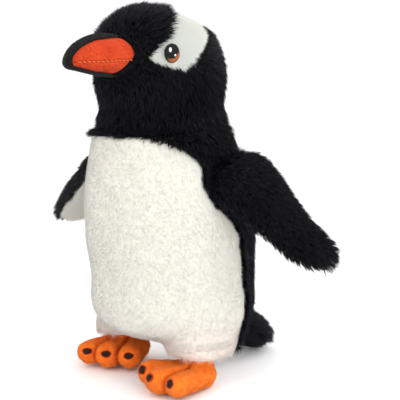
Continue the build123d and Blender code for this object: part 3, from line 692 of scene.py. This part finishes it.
dress(torso, FIBRE, "torso", ["torso_stuffing", "left_leg_stuffing", "right_leg_stuffing"])
for name, keep, mat, slot, nodes in (
        ("belly_cover", belly, BACK_BELLY, "white_plush", ["belly_panel"]),
        ("base_cover", base, BACK_BELLY, "white_plush", ["base_gusset"]),
        ("left_leg_cover", legs["left"] & ~hem_cap, BACK_BELLY, "white_plush", ["left_leg_cuff"]),
        ("right_leg_cover", legs["right"] & ~hem_cap, BACK_BELLY, "white_plush", ["right_leg_cuff"]),
        ("left_back_cover", back_l, BACK_BLACK, "black_long_plush", ["left_back_panel"]),
        ("right_back_cover", back_r, BACK_BLACK, "black_long_plush", ["right_back_panel"]),
        ("neck_yoke_cover", yoke, BACK_BLACK, "black_long_plush", ["neck_yoke"])):
    o = panel(name, tm, keep, 0.9, 0.95)
    if mat is BACK_BELLY:
        a = o.data.attributes.new("tint", "FLOAT", "POINT")
        a.data.foreach_set("value", white_tint_and_bounce(coords(o.data)))
    dress(o, mat, "torso", nodes)

out = 0.9
for name, keep in (("belly_left_pile", belly & (cen[:, 0] >= 0)), ("belly_right_pile", belly & (cen[:, 0] < 0))):
    white_pile(name, tm, keep, 2.6, down_comb, "torso", (), push=out, form=torso_form, length=1.7, width=0.24, mat=BELLY)
white_pile("base_pile", tm, base, 3.0, down_comb, "torso", (), push=out, mat=BELLY)


def hem_len(P):
    return 1.0 + 1.0 * (1 - smooth(P[:, 2], 22.5, 27))


for side in ("left", "right"):
    white_pile(side + "_leg_pile", tm, (legs[side] | (belly & (cen[:, 2] < 35) & (np.sign(cen[:, 0]) == (1 if side == "left" else -1)))) & ~hem_cap, 3.0, down_comb, "torso", (), push=out, lens=hem_len, form=torso_form,
               length=2.0, width=0.26, mat=BELLY)
for name, keep in (("left_back_pile", back_l), ("right_back_pile", back_r)):
    black_pile(name, tm, keep, 1.9, back_comb, "torso", (), push=out, lean=0.78, clump=0.5, jitter=0.3)
black_pile("neck_yoke_pile", tm, yoke, 1.9, back_comb, "torso", (), push=out, lean=0.95)

# ------------------------------------------------------------------ head
zs = np.concatenate([[172.2], np.arange(173.4, 236, 3.0), np.linspace(237, 249.2, 9)])
c, u, v, hu, hv = upright((H_CY, H_RX, H_RY), zs, 5.8 + 2.6 * np.exp(-((zs - 184) / 12) ** 2))
c[:, 2] -= 5.4 * smooth(zs, 222, 249)
c[:, 1] += 1.3 * np.exp(-((zs - 186) / 13) ** 2) - 2.2 * smooth(zs, 206, 220)
head = raw_object("head_filling", [tube_stack(c, u, v, np.maximum(hu, 2.0), np.maximum(hv, 2.0), 72)])


def band_front(z):
    return np.interp(z, (200, 216.2, 225, 238, 249, 262), (-55, -37.2, -31.0, -17.0, 2.0, 16))


def band_back(z):
    return np.interp(z, (210.6, 215.4, 222.3, 234, 242, 258), (-17, -10.6, -1.2, 15.4, 28.5, 46))


def band_low(yy):
    return np.interp(yy, (-38, -33, -25, -17.4), (218.0, 214.2, 211.2, 210.4))


def head_regions(q, grow=0.0):
    yy, z = q[:, 1] - BY, q[:, 2]
    wobble = lumps(q, 9, 61) * 0.6
    band = (yy > band_front(z) - grow + wobble) & (yy < band_back(z) + grow + wobble) & (z > band_low(yy) - grow + wobble * 0.5)
    crown = (yy <= band_front(z) + wobble) & (z > 216.2) & ~band
    nape = (yy > -5) & ~band & ~crown
    return band, crown, nape


def head_seams(p):
    yy, z = p[:, 1] - BY, p[:, 2]
    a = np.where(z > 215, np.abs(yy - band_front(z)) * 0.7, 9)
    b = np.where(z > 209, np.abs(yy - band_back(z)) * 0.7, 9)
    low = np.where((yy < -16) & (yy > -42), np.abs(z - band_low(yy)), 9)
    side = np.where(z < 209, np.abs(yy + 5) * 1.3, 9)
    face = np.where(yy < -36, np.abs(np.hypot(p[:, 0] / 17.5, (z - 217) / 13.6) - 1) * 14, 9)
    ends = np.where(z < 175.5, 0, 9)
    return np.clip(1.3 - np.minimum.reduce([a, b, low, side, face, ends]) / 2.6, 0, 1)


puff(head, 3.0, head_seams, 2.2, pressure=3.0, relax=6, settle=8)
p, n = coords(head.data), normals(head.data)
band, crown, nape = head_regions(p)
fore = smooth(-(p[:, 1] - BY), 8, 22) * smooth(p[:, 2], 220, 228) * (1 - band)
p = p + n * (np.where(band, 1.2, 0) + lumps(p, 30, 62) * 0.3 + 1.2 * fore)[:, None]
set_coords(head.data, p)
hm = head.data
cen = coords(hm)[quads_of(hm)].mean(axis=1)
q4 = coords(hm)[quads_of(hm)]
fn = unit(np.cross(q4[:, 1] - q4[:, 0], q4[:, 2] - q4[:, 0]))
band, crown, nape = head_regions(cen)
low_cap = (cen[:, 2] < 175) & (fn[:, 2] < -0.7)
cheek = ~band & ~crown & ~nape
cheek_l, cheek_r = cheek & (cen[:, 0] >= 0), cheek & (cen[:, 0] < 0)
BEAK_AT = np.array((0, -38 + BY, 218.0))
E_N = unit(np.array((math.sin(EYE_TURN), -math.cos(EYE_TURN), EYE_LEAN)))
E_X = np.array((math.cos(EYE_TURN), math.sin(EYE_TURN), 0))
E_Y = np.cross(E_N, E_X)


def eye_uv(P):
    Q = P.copy()
    Q[:, 0] = np.abs(Q[:, 0])
    d = Q - EYE_AT
    return d @ E_X, d @ E_Y, np.abs(d @ E_N) < 9


def off_face(P):
    a, b, near = eye_uv(P)
    eye = near & (np.hypot(a / 4.6, b / 5.8) < 1)
    d = np.hypot(P[:, 0] / 16.6, (P[:, 2] - 217.3) / 13.0)
    beak = (P[:, 1] - BY < -34) & (d < 1)
    return ~eye & ~beak


def near_beak(P):
    d = np.hypot(P[:, 0] / 16.6, (P[:, 2] - 217.3) / 13.0)
    front = smooth(-(P[:, 1] - BY), 24, 36)
    return 1 - front * (1 - smooth(d, 1.0, 1.9)) * 0.62


def neck_len(P):
    return 1 + 0.3 * (1 - smooth(P[:, 2], 174, 188))


def head_comb(P, N):
    away = unit(P - BEAK_AT)
    lowdown = smooth(-P[:, 2], -222, -196)[:, None]
    return away * (1 - 0.75 * lowdown) + DOWN * (0.12 + 1.1 * lowdown) + 0.2 * np.stack([lumps(P, 30, 71), lumps(P, 30, 72), lumps(P, 30, 73)], 1)


NECK_BLEND = ("torso", "head", (0, BY, 172.4), (0, BY, 194))
dress(head, FIBRE, "head", ["head_stuffing"])
for name, keep, mat, slot, nodes, bl in (
        ("eye_band_cover", band, BACK_WHITE, "white_plush", ["eye_band"], None),
        ("crown_cover", crown, BACK_BLACK, "black_long_plush", ["crown_panel"], None),
        ("nape_cover", nape, BACK_BLACK, "black_long_plush", ["nape_panel"], NECK_BLEND),
        ("left_cheek_cover", cheek_l, BACK_BLACK, "black_long_plush", ["left_cheek_panel"], NECK_BLEND),
        ("right_cheek_cover", cheek_r, BACK_BLACK, "black_long_plush", ["right_cheek_panel"], NECK_BLEND)):
    dress(panel(name, hm, keep, 0.9, 0.95), mat, "head", nodes, bl)
white_pile("eye_band_pile", hm, band, 8.0, head_comb, "head", (), push=out, mask=off_face, length=3.8, lean=0.95,
           droop=0.0, jitter=0.35)
black_pile("crown_pile", hm, crown, 1.9, head_comb, "head", (), push=out, mask=off_face, lens=near_beak, length=9.0,
           lean=0.85, droop=0.0)
black_pile("nape_pile", hm, nape, 1.7, head_comb, "head", (), push=out, blend=NECK_BLEND, length=9.2, lean=0.85, lens=neck_len)
for name, keep in (("left_cheek_pile", cheek_l), ("right_cheek_pile", cheek_r)):
    black_pile(name, hm, keep, 1.9, head_comb, "head", (), push=out, blend=NECK_BLEND, mask=off_face, lens=lambda P: near_beak(P) * neck_len(P),
               length=8.8, lean=0.88)


# ------------------------------------------------------------------ wings and tail
def limb(name, root, tip_or_dir, rows, across, body, outer_nodes, inner_nodes, fill_node, white_inner, seed, voxel=2.6):
    a = unit(tip_or_dir)
    cdir = unit(across - a * (a @ across))
    nn = np.cross(a, cdir)
    if nn[2] < 0:
        nn = -nn
    rows = np.array(rows, float)
    s = np.linspace(rows[0, 0], rows[-1, 0], 36)
    f_off = spline(rows[:, 0], rows[:, 3])
    hc, ht = spline(rows[:, 0], rows[:, 1])(s) - 4.2, spline(rows[:, 0], rows[:, 2])(s) - 3.3
    hc, ht = np.maximum(hc, 1.6), np.maximum(ht, 1.1)
    off = f_off(s)
    s = s - 3.4 * smooth(s, rows[-1, 0] - 22, rows[-1, 0])
    ones = np.ones((len(s), 1))
    ctr = root + a * s[:, None] + cdir * off[:, None]
    ob = raw_object(name + "_filling", [tube_stack(ctr, ones * cdir, ones * nn, hc, ht, 48)])

    def place(q):
        d = q - root
        t = d @ a
        return t, (d @ cdir - np.interp(t, s, off)) / np.maximum(np.interp(t, s, hc), 1), d @ nn

    def seams(q):
        t, w, k = place(q)
        rim = np.where((np.abs(w) > 0.75) | (t > s[-1] - 5), np.abs(k), 9)
        return np.clip(1.3 - np.minimum(rim, np.where(t < s[0] + 6, 0, 9)) / 1.6, 0, 1)

    puff(ob, voxel, seams, 1.8, pressure=4.0, relax=2)
    me = ob.data
    q = coords(me)
    set_coords(me, q + normals(me) * (lumps(q, 24, seed) * 0.35)[:, None])
    q = coords(me)[quads_of(me)].mean(axis=1)
    t, w, k = place(q)
    deep = t < s[0] - 9
    if white_inner:
        under = (k < -0.42 * np.interp(t, s, ht)) & (np.abs(w) < 0.86) & (t > 3) & (t < s[-1] - 3.5) & ~deep
    else:
        under = (k < 0) & ~deep
    top = ~under & ~deep
    bl = ("torso", body, tuple(root - a * 6), tuple(root + a * 12))
    dress(ob, FIBRE, body, [fill_node], bl)

    def comb(P, N):
        edge = ((P - root) @ cdir / 26)[:, None] * cdir
        return a + 0.35 * edge + 0.14 * np.stack([lumps(P, 20, seed + 1), lumps(P, 20, seed + 2), lumps(P, 20, seed + 3)], 1)

    dress(panel(name + "_outer_cover", me, top, 0.8, 0.85), BACK_BLACK, body, outer_nodes, bl)
    if white_inner:
        dress(panel(name + "_inner_cover", me, under, 0.8, 0.85), BACK_WHITE, body, inner_nodes, bl)
        black_pile(name + "_outer_pile", me, top, 3.2, comb, body, (), push=0.8, blend=bl, length=9.0, lean=0.9, droop=0.1,
                   width=0.46)
        white_pile(name + "_inner_pile", me, under, 8, comb, body, (), push=0.8, blend=bl, length=3.6)
    else:
        dress(panel(name + "_under_cover", me, under, 0.8, 0.85), BACK_BLACK, body, inner_nodes, bl)
        black_pile(name + "_upper_pile", me, top, 3.4, comb, body, (), push=0.8, blend=bl, length=12.5, lean=0.74,
                   droop=0.1, clump=0.75, cell=6.0, jitter=0.4)
        black_pile(name + "_under_pile", me, under, 3.0, comb, body, (), push=0.8, blend=bl, length=8.0, lean=1.0,
                   droop=0.0, lens=lambda P: np.clip((P[:, 2] + 2.0) / 9, 0.4, 1))


limb("left_wing", L_ROOT, L_TIP - L_ROOT, WING, CHORD, "left_wing", ["left_wing_outer"], ["left_wing_inner"],
     "left_wing_stuffing", True, 81)
limb("right_wing", R_ROOT + np.array((-1.2, -1.4, 0.5)), R_TIP - R_ROOT + np.array((1.5, 1.6, 1.0)), WING, CHORD_R, "right_wing", ["right_wing_outer"], ["right_wing_inner"],
     "right_wing_stuffing", True, 91)
limb("tail", T_ROOT, T_DIR, TAIL, np.array((1.0, 0, 0)), "tail", ["tail_upper"], ["tail_under"], "tail_stuffing", False, 101)


# ------------------------------------------------------------------ feet
def capsule(a, b, r, seg=24):
    a, b = np.array(a, float), np.array(b, float)
    d = unit(b - a)
    side = unit(np.cross(d, (0, 0, 1)))
    up = np.cross(side, d)
    L = np.linalg.norm(b - a)
    t = np.linspace(-np.pi / 2 + 0.08, 0, 7)
    s = np.concatenate([r * np.sin(t), L + r * np.sin(-t[::-1])])
    h = np.concatenate([r * np.cos(t), r * np.cos(t[::-1])])
    ones = np.ones((len(s), 1))
    return tube_stack(a + d * s[:, None], ones * side, ones * up, h, h, seg)


def foot(side):
    fx, fy, turn = FEET[side]
    t = math.radians(turn)
    fwd, sid = np.array((math.sin(t), -math.cos(t), 0)), np.array((math.cos(t), math.sin(t), 0))
    c0 = np.array((fx, fy + BY, 8.2))
    inset = 1.0
    lines, parts = [], []
    for off, reach, r, root_off in TOES[side]:
        A, B = c0 + sid * root_off - fwd * 3, c0 + sid * off + fwd * reach + np.array((0, 0, 1.9))
        lines.append((A, B, r))
        parts.append(capsule(A, B, r - inset))
    hem = LEGS[side][0]
    ankle = np.array((hem[0], hem[1] + BY, 11.5))
    parts.append(capsule(c0 - fwd * 3.5, c0 + fwd * 3, 8.2 - inset))
    parts.append(capsule(ankle + fwd * 2, ankle + fwd * 4, 8.0))
    parts.append(capsule(ankle + fwd * 1 + np.array((0, 0, 6)), ankle + fwd * 2 + np.array((0, 0, 6)), 9.5))
    ob = raw_object(side + "_foot_filling", parts)

    def seg_dist(q):
        out_ = []
        for A, B, r in lines:
            ab = B - A
            w = np.clip(((q - A) @ ab) / (ab @ ab), 0, 1)[:, None]
            out_.append(np.linalg.norm((q - A - w * ab)[:, :2], axis=1))
        return np.array(out_)

    def crease(q):
        d = np.sort(seg_dist(q), axis=0)
        fr = (q - c0) @ fwd
        return (1 - smooth(d[1] - d[0], 0.4, 4.4)) * smooth(fr, -3, 6) * smooth(q[:, 2], 2, 6)

    def seams(q):
        return np.clip(np.maximum(crease(q), 1 - np.abs(q[:, 2] - 1.0) / 2.0), 0, 1)

    puff(ob, 1.7, seams, 1.0, pressure=5.0, relax=3)
    me = ob.data
    q, nn = coords(me), normals(me)
    seam = np.exp(-((q[:, 2] - 5.0) / 0.9) ** 2)
    outw = nn * np.array((1, 1, 0))
    q = q - nn * (crease(q) * 2.3)[:, None] + nn * (lumps(q, 9, 111) * 0.22)[:, None] - outw * (seam * 0.7)[:, None]
    ridge = np.exp(-((q[:, 2] - 3.3) / 0.9) ** 2)
    q = q + outw * (ridge * 0.8)[:, None]
    q[:, 2] = np.where(q[:, 2] < 1.2, 0.25 + (q[:, 2] + 0.4) * 0.1, q[:, 2])
    q[:, 2] = np.maximum(q[:, 2], 0.25)
    set_coords(me, q)
    dots = [B + np.array((0, 0, r * 0.31)) + fwd * r * (0.62 if side == "right" else 0.54) + sid * (2.0 if side == "right" else 0.6) for A, B, r in lines]

    def tint(P):
        # random mottle and a deeper base on the right foot; darker along the seam line; painted shade in the toe
        # creases and, on the right foot, towards the rear under the leg hem; a lighter bottom edge, partly the fabric's
        # own lighter edge and partly painted light against the shade there; the brown dots below are the fabric's own
        # print
        base_ = (0.20 if side == "right" else 0.12) + lumps(P, 7, 121) * 0.07 + lumps(P, 3.4, 122) * 0.05
        base_ = base_ + 0.15 * np.exp(-((P[:, 2] - 5.0) / 0.9) ** 2) + 0.34 * crease(P) + (0.16 if side == "right" else 0.0) * smooth(-((P - c0) @ fwd), -12, 4) - 0.2 * (1 - smooth(P[:, 2], 2, 8))
        for d in dots:
            r = np.linalg.norm((P - d) * (1, 1, 1.5 if side == "right" else 1.15), axis=1)
            base_ = np.maximum(base_, 0.92 * (1 - smooth(r + lumps(P, 3, 123) * 0.2, 3.0, 4.4 if side == "right" else 4.9)))
        return np.clip(base_, 0.02, 0.93)

    cen_ = coords(me)[quads_of(me)].mean(axis=1)
    sole = cen_[:, 2] < 1.5
    dress(ob, FIBRE, "torso", [side + "_foot_stuffing"])
    for nm, keep, node in (("upper", ~sole, "_foot_upper"), ("sole", sole, "_foot_sole")):
        o = panel(side + "_foot_" + nm + "_cover", me, keep, 0.5, 0.2 if nm == "sole" else 0.5)
        a = o.data.attributes.new("tint", "FLOAT", "POINT")
        a.data.foreach_set("value", tint(coords(o.data)))
        if nm == "sole":
            w_ = coords(o.data)
            w_[:, 2] = np.maximum(w_[:, 2], 0.05)
            set_coords(o.data, w_)
        dress(o, BACK_ORANGE, "torso", [side + node])
    P, N = scatter(me, ~sole, 7.5, rng, 0.4)
    comb = fwd * 0.7 + N * 0 + 0.5 * unit(rng.normal(size=(len(P), 3)))
    o = strands(side + "_foot_pile", P, N, comb, 1.5, 0.34, 0.75, rng, tint(P), clump=0.3, cell=1.6, jitter=0.5, long=False,
                cap=30000)
    dress(o, ORANGE, "torso", ())


foot("left")
foot("right")

# ------------------------------------------------------------------ beak
B_Z, B_HW, B_HH = table([(b[0], b[1], b[2], b[3]) for b in BEAK])
HALF = 6.2


def half(d):
    return np.interp(d, (34, 47, 57, 64, 72, 81), (8.4, 9.0, 8.4, 6.6, 5.8, 5.5))



def mouth_z(d):
    return 215.3 - (d - 44) / 36 * 0.5


def beak_rear(th):
    """How far forward the felt starts, round the side from the top: the face pile closes over the rest."""
    return np.interp(np.degrees(np.abs(th)), (0, 32, 48, 67, 81, 95, 108, 130, 149, 180), (49, 47, 44.6, 42, 41, 43, 46.4, 50, 52.6, 54))


def reach(d):
    return np.where(d > 45, 45 + (d - 45) * 0.945, d)


def beak_grid(d, th, lift=0.0):
    """Points on the beak skin at distance d forward and angle th round from the top."""
    hw, hh = B_HW(d) + lift, B_HH(d) + lift
    return np.stack([hw * np.sin(th), BY - reach(d), B_Z(d) + hh * np.cos(th)], -1)


def beak_shape(P, d):
    """Pulls the skin in along the two strip seams and the mouth line."""
    ctr = np.stack([np.zeros_like(d), BY - reach(d), B_Z(d)], -1)
    out_ = unit(P - ctr)
    seam = np.exp(-((np.abs(P[..., 0]) - half(d)) / 0.9) ** 2) * 0.75
    mouth = np.exp(-((P[..., 2] - mouth_z(d)) / 0.7) ** 2) * (np.abs(P[..., 0]) > half(d) - 0.5) * smooth(d, 40, 44) * 0.8
    puffed = 0.5 * np.sin(np.clip((np.abs(P[..., 0]) - half(d)) / 10, 0, 1) * np.pi)
    return P - out_ * (seam + mouth - puffed)[..., None], out_


def beak_piece(name, patches, mat, nodes, fuzz, density, length):
    verts, faces, base_ = [], [], 0
    roots, nors = [], []
    for d, th in patches:
        P, o_ = beak_shape(beak_grid(d, th, -0.7), d)
        if name == "beak_strip":
            P = P + np.array((0, 0, 0.9)) * (smooth(d, 46, 54) * (1 - smooth(d, 74, 82)) * np.cos(th) * np.cos(th * 1.4).clip(0, 1) * (np.cos(th) > 0))[..., None]
        r, c_ = d.shape
        inner = P - o_ * 0.9
        idx = np.arange(r * c_).reshape(r, c_)
        f = np.stack([idx[:-1, :-1], idx[:-1, 1:], idx[1:, 1:], idx[1:, :-1]], -1).reshape(-1, 4)
        k = r * c_
        loop = np.concatenate([idx[0, :], idx[1:, -1], idx[-1, -2::-1], idx[-2:0:-1, 0]])
        nxt = np.roll(loop, -1)
        wall = np.stack([nxt, loop, loop + k, nxt + k], 1)
        verts += [P.reshape(-1, 3), inner.reshape(-1, 3)]
        faces += [f + base_, f[:, ::-1] + k + base_, wall + base_]
        base_ += 2 * k
        q = P.reshape(-1, 3)[f]
        cr = np.cross(q[:, 2] - q[:, 0], q[:, 3] - q[:, 1])
        area = 0.5 * np.linalg.norm(cr, axis=1)
        m_ = int(area.sum() * density)
        pick = rng.choice(len(f), m_, p=area / area.sum())
        a_, b_ = rng.random(m_)[:, None], rng.random(m_)[:, None]
        pos = (q[pick, 0] * (1 - a_) + q[pick, 1] * a_) * (1 - b_) + (q[pick, 3] * (1 - a_) + q[pick, 2] * a_) * b_
        dd = BY - pos[:, 1]
        roots.append(pos)
        nors.append(unit(pos - np.stack([0 * dd, pos[:, 1], B_Z(dd)], 1)))
    ob = mesh_object(name + "_cover", np.concatenate(verts), np.concatenate(faces))
    me = ob.data
    import bmesh
    bm = bmesh.new()
    bm.from_mesh(me)
    bmesh.ops.remove_doubles(bm, verts=bm.verts, dist=2e-5)
    bmesh.ops.dissolve_degenerate(bm, edges=bm.edges, dist=1e-6)
    bmesh.ops.recalc_face_normals(bm, faces=bm.faces)
    bm.to_mesh(me)
    bm.free()
    dress(ob, mat, "head", nodes)
    if fuzz is None:
        return
    P, N = np.concatenate(roots), np.concatenate(nors)
    dd = BY - P[:, 1]
    # nap colour on the felt sides and velour strip: random mottle, painted shade over the lower half below the mouth
    # line and a painted shade line in the mouth groove
    t = np.clip(0.25 + 0.45 * smooth(mouth_z(dd) - P[:, 2], -1.0, 5.0) + lumps(P, 6, 131) * 0.10 + lumps(P, 2.6, 132) * 0.08
                + 0.35 * np.exp(-((P[:, 2] - mouth_z(dd)) / 0.8) ** 2), 0, 1)
    comb = np.stack([0 * dd, -np.ones_like(dd), 0 * dd], 1) + 0.8 * unit(rng.normal(size=P.shape))
    o = strands(name + "_nap", P, N, comb, length, 0.42, 0.85, rng, t, clump=0.35, cell=1.4, jitter=0.7, long=False, cap=30000)
    dress(o, fuzz, "head", ())


def side_patch(sg, rows=60, cols=36, collar=False):
    w = np.linspace(0, 1, cols)[None, :]
    k = np.linspace(0, 1, rows)[:, None]
    ts0 = np.arcsin(8.8 / 17.5)
    rear = beak_rear(ts0 + (np.pi - 2 * ts0) * w)
    d = 33.5 + (rear - 33.6) * k if collar else rear + (80.7 - rear) * k
    ts = np.arcsin(np.clip((half(d) + 0.05) / B_HW(d), 0, 1))
    th = ts + (np.pi - 2 * ts) * w
    return d, sg * th


def strip_patch(under, rows=70, cols=22):
    d = (34 + (84 - 34) * (1 - (1 - np.linspace(0, 1, rows)) ** 1.5))[:, None] * np.ones((1, cols))
    ts = np.arcsin(np.clip((half(d) - 0.05) / B_HW(d), 0, 1))
    w = np.linspace(-1, 1, cols)[None, :]
    return d, (np.pi if under else 0) + ts * w


beak_piece("beak_left", [side_patch(1)], BACK_FELT, ["beak_left_side"], FELT, 9, 0.75)
beak_piece("beak_right", [side_patch(-1)], BACK_FELT, ["beak_right_side"], FELT, 9, 0.75)
beak_piece("beak_strip", [strip_patch(False), strip_patch(True)], BACK_VELOUR, ["beak_ridge_strip"], VELOUR, 9, 0.8)
beak_piece("beak_collar", [side_patch(1, 14, 36, True), side_patch(-1, 14, 36, True)], BACK_BLACK, (), None, 0, 0)
P, N = [], []
for sg in (1, -1):
    d, th = side_patch(sg, 80, 90, True)
    q = beak_grid(d, th, -0.7).reshape(-1, 3)
    P.append(q[rng.choice(len(q), 3600, replace=False)])
P = np.concatenate(P)
P = P + rng.normal(size=P.shape) * 0.2
N = unit(P - np.stack([0 * P[:, 0], P[:, 1], B_Z(np.clip(BY - P[:, 1], 33, 84))], 1))
o = strands("beak_collar_pile", P, N, np.array((0, 1.0, 0)) + 0.25 * N + np.array((0, 0, -0.15)), 5.2, 0.42, 0.62, rng,
            np.clip(0.5 + rng.normal(size=len(P)) * 0.2, 0, 1), clump=0.35, cell=3.0, jitter=0.35, long=True)
dress(o, BLACK, "head", ())
d = np.linspace(32, 78, 26)
bf = raw_object("beak_filling", [tube_stack(np.stack([0 * d, BY - reach(d), B_Z(d)], 1), np.ones((26, 1)) * (1, 0, 0),
                                            np.ones((26, 1)) * (0, 0, 1), np.maximum(B_HW(d) - 3.2, 0.6), np.maximum(B_HH(d) - 3.2, 0.6), 40)])
dress(bf, FIBRE, "head", ["beak_stuffing"])


def tube(points, radius, seg=6, taper=0.55):
    pts = np.asarray(points, float)
    t = unit(np.gradient(pts, axis=0))
    ref = np.array((0.31, 0.22, 0.92))
    a = unit(np.cross(t, ref))
    b = np.cross(t, a)
    n_ = len(pts)
    rad = radius * (1 - (1 - taper) * np.abs(np.linspace(-1, 1, n_)) ** 3)
    ang = np.linspace(0, 2 * np.pi, seg, endpoint=False)
    rings = pts[:, None] + (a[:, None] * np.cos(ang)[None, :, None] + b[:, None] * np.sin(ang)[None, :, None]) * rad[:, None, None]
    verts = np.concatenate([rings.reshape(-1, 3), pts[:1], pts[-1:]])
    faces = []
    for i in range(n_ - 1):
        for j in range(seg):
            faces.append((i * seg + j, i * seg + (j + 1) % seg, (i + 1) * seg + (j + 1) % seg, (i + 1) * seg + j))
    for j in range(seg):
        faces.append((n_ * seg, (j + 1) % seg, j, j))
        faces.append((n_ * seg + 1, (n_ - 1) * seg + j, (n_ - 1) * seg + (j + 1) % seg, (n_ - 1) * seg + (j + 1) % seg))
    return verts, faces


def fix_normals(ob):
    import bmesh
    bm = bmesh.new()
    bm.from_mesh(ob.data)
    bmesh.ops.recalc_face_normals(bm, faces=bm.faces)
    bm.to_mesh(ob.data)
    bm.free()
    ob.data.polygons.foreach_set("use_smooth", np.full(len(ob.data.polygons), True))
    return ob


srng = np.random.default_rng(77)
for side, sg in (("left", 1), ("right", -1)):
    groups = []
    for k in range(13):
        d0 = 43.2 + k * 2.8
        dd = np.linspace(d0, d0 + 2.1, 7)
        zz = mouth_z(dd) + np.linspace(-0.35, 0.35, 7) * srng.uniform(0.4, 1.4)
        cosv = np.clip((zz - B_Z(dd)) / B_HH(dd), -0.98, 0.98)
        P = beak_grid(dd, sg * np.arccos(cosv), -0.35)
        P += unit(P - np.stack([0 * dd, BY - reach(dd), B_Z(dd)], 1)) * (np.sin(np.linspace(0, np.pi, 7)) * 0.55)[:, None]
        groups.append(tube(P, 0.36, 6))
    dress(fix_normals(raw_object(side + "_mouth_stitches", groups)), TH_RED, "head", [side + "_mouth_stitching"])


# ------------------------------------------------------------------ eyes: rows of satin stitch
def on_head(P, N, grow):
    t = np.zeros(len(P))

    def f(tt):
        Q = P + N * tt[:, None]
        return np.hypot(Q[:, 0] / (H_RX(Q[:, 2]) + grow), (Q[:, 1] - BY - H_CY(Q[:, 2])) / (H_RY(Q[:, 2]) + grow)) - 1
    for _ in range(12):
        a = f(t)
        b = f(t + 0.5)
        t = t - a * 0.5 / np.where(np.abs(b - a) < 1e-9, 1e-9, b - a)
    return P + N * t[:, None]


def inside(a, b, shape):
    cx, cy, rx, ry = shape
    return np.hypot((a - cx) / rx, (b - cy) / ry) < 1


EYE, IRIS, IRIS_CUT = (0, 0, 4.65, 5.9), (0.3, -0.8, 3.95, 4.7), (-0.8, 1.3, 4.5, 4.8)
GLINTS = [(-1.2, 2.1, 0.9, 1.45), (1.8, -1.3, 0.6, 0.6)]


def eye_kind(a, b):
    k = np.where(inside(a, b, EYE), 1, 0)
    k = np.where(inside(a, b, IRIS) & ~inside(a, b, IRIS_CUT), 2, k)
    for g in GLINTS:
        k = np.where(inside(a, b, g), 3, k)
    return k


for side, sg in (("left", 1), ("right", -1)):
    runs = {1: [], 2: [], 3: []}
    e_rng = np.random.default_rng(5)
    for row, b0 in enumerate(np.arange(-6.5, 6.6, 0.30)):
        aa = np.arange(-5.8, 5.81, 0.10)
        kk = eye_kind(aa, np.full_like(aa, b0))
        i = 0
        while i < len(aa):
            j = i
            while j + 1 < len(aa) and kk[j + 1] == kk[i]:
                j += 1
            if kk[i] and aa[j] - aa[i] > 0.35:
                m_ = max(5, int((aa[j] - aa[i]) / 0.9))
                s_ = np.linspace(aa[i] - 0.05, aa[j] + 0.05, m_)
                bb = b0 + e_rng.normal() * 0.03 + (s_ - s_.mean()) * 0.12
                base_ = EYE_AT + E_X * s_[:, None] + E_Y * bb[:, None]
                dome = 0.55 * np.sqrt(np.clip(1 - (s_ / 6.0) ** 2 - (bb / 7.2) ** 2, 0, 1))
                Q = on_head(base_, np.broadcast_to(E_N, base_.shape), -0.2)
                Q = Q + E_N * (dome + (0.12 if kk[i] > 1 else 0))[:, None]
                if sg < 0:
                    Q = Q * np.array((-1, 1, 1))
                runs[int(kk[i])].append(tube(Q, 0.25, 5, 0.7))
            i = j + 1
    fr, ft = np.linspace(0.02, 1, 9)[:, None], np.linspace(0, 2 * np.pi, 40, endpoint=False)[None, :]
    pa, pb = (4.7 * fr * np.cos(ft)).ravel(), (5.95 * fr * np.sin(ft)).ravel()
    base_ = EYE_AT + E_X * pa[:, None] + E_Y * pb[:, None]
    skin = on_head(base_, np.broadcast_to(E_N, base_.shape), -0.2)
    rise = 0.50 * np.sqrt(np.clip(1 - (pa / 6.0) ** 2 - (pb / 7.2) ** 2, 0, 1))[:, None]
    pad = np.concatenate([skin + E_N * (rise - 0.05), skin - E_N * 1.2])
    if sg < 0:
        pad = pad * np.array((-1, 1, 1))
    idx = np.arange(9 * 40).reshape(9, 40)
    nx = np.roll(idx, -1, axis=1)
    skin_f = np.stack([idx[:-1], nx[:-1], nx[1:], idx[1:]], -1).reshape(-1, 4)
    k_ = 9 * 40
    wall = np.stack([idx[-1], nx[-1], nx[-1] + k_, idx[-1] + k_], -1)
    core = np.stack([nx[0], idx[0], idx[0] + k_, nx[0] + k_], -1)
    runs[1].append((pad, np.concatenate([skin_f, skin_f[:, ::-1] + k_, wall, core]).tolist()))
    for kind, nm, mat in ((1, "black", TH_BLACK), (2, "iris", TH_BROWN), (3, "glint", TH_WHITE)):
        slot = {"black": "black_thread", "iris": "brown_thread", "glint": "white_thread"}[nm]
        dress(fix_normals(raw_object(side + "_eye_" + nm + "_stitches", runs[kind])), mat, "head", [side + "_eye_" + nm])
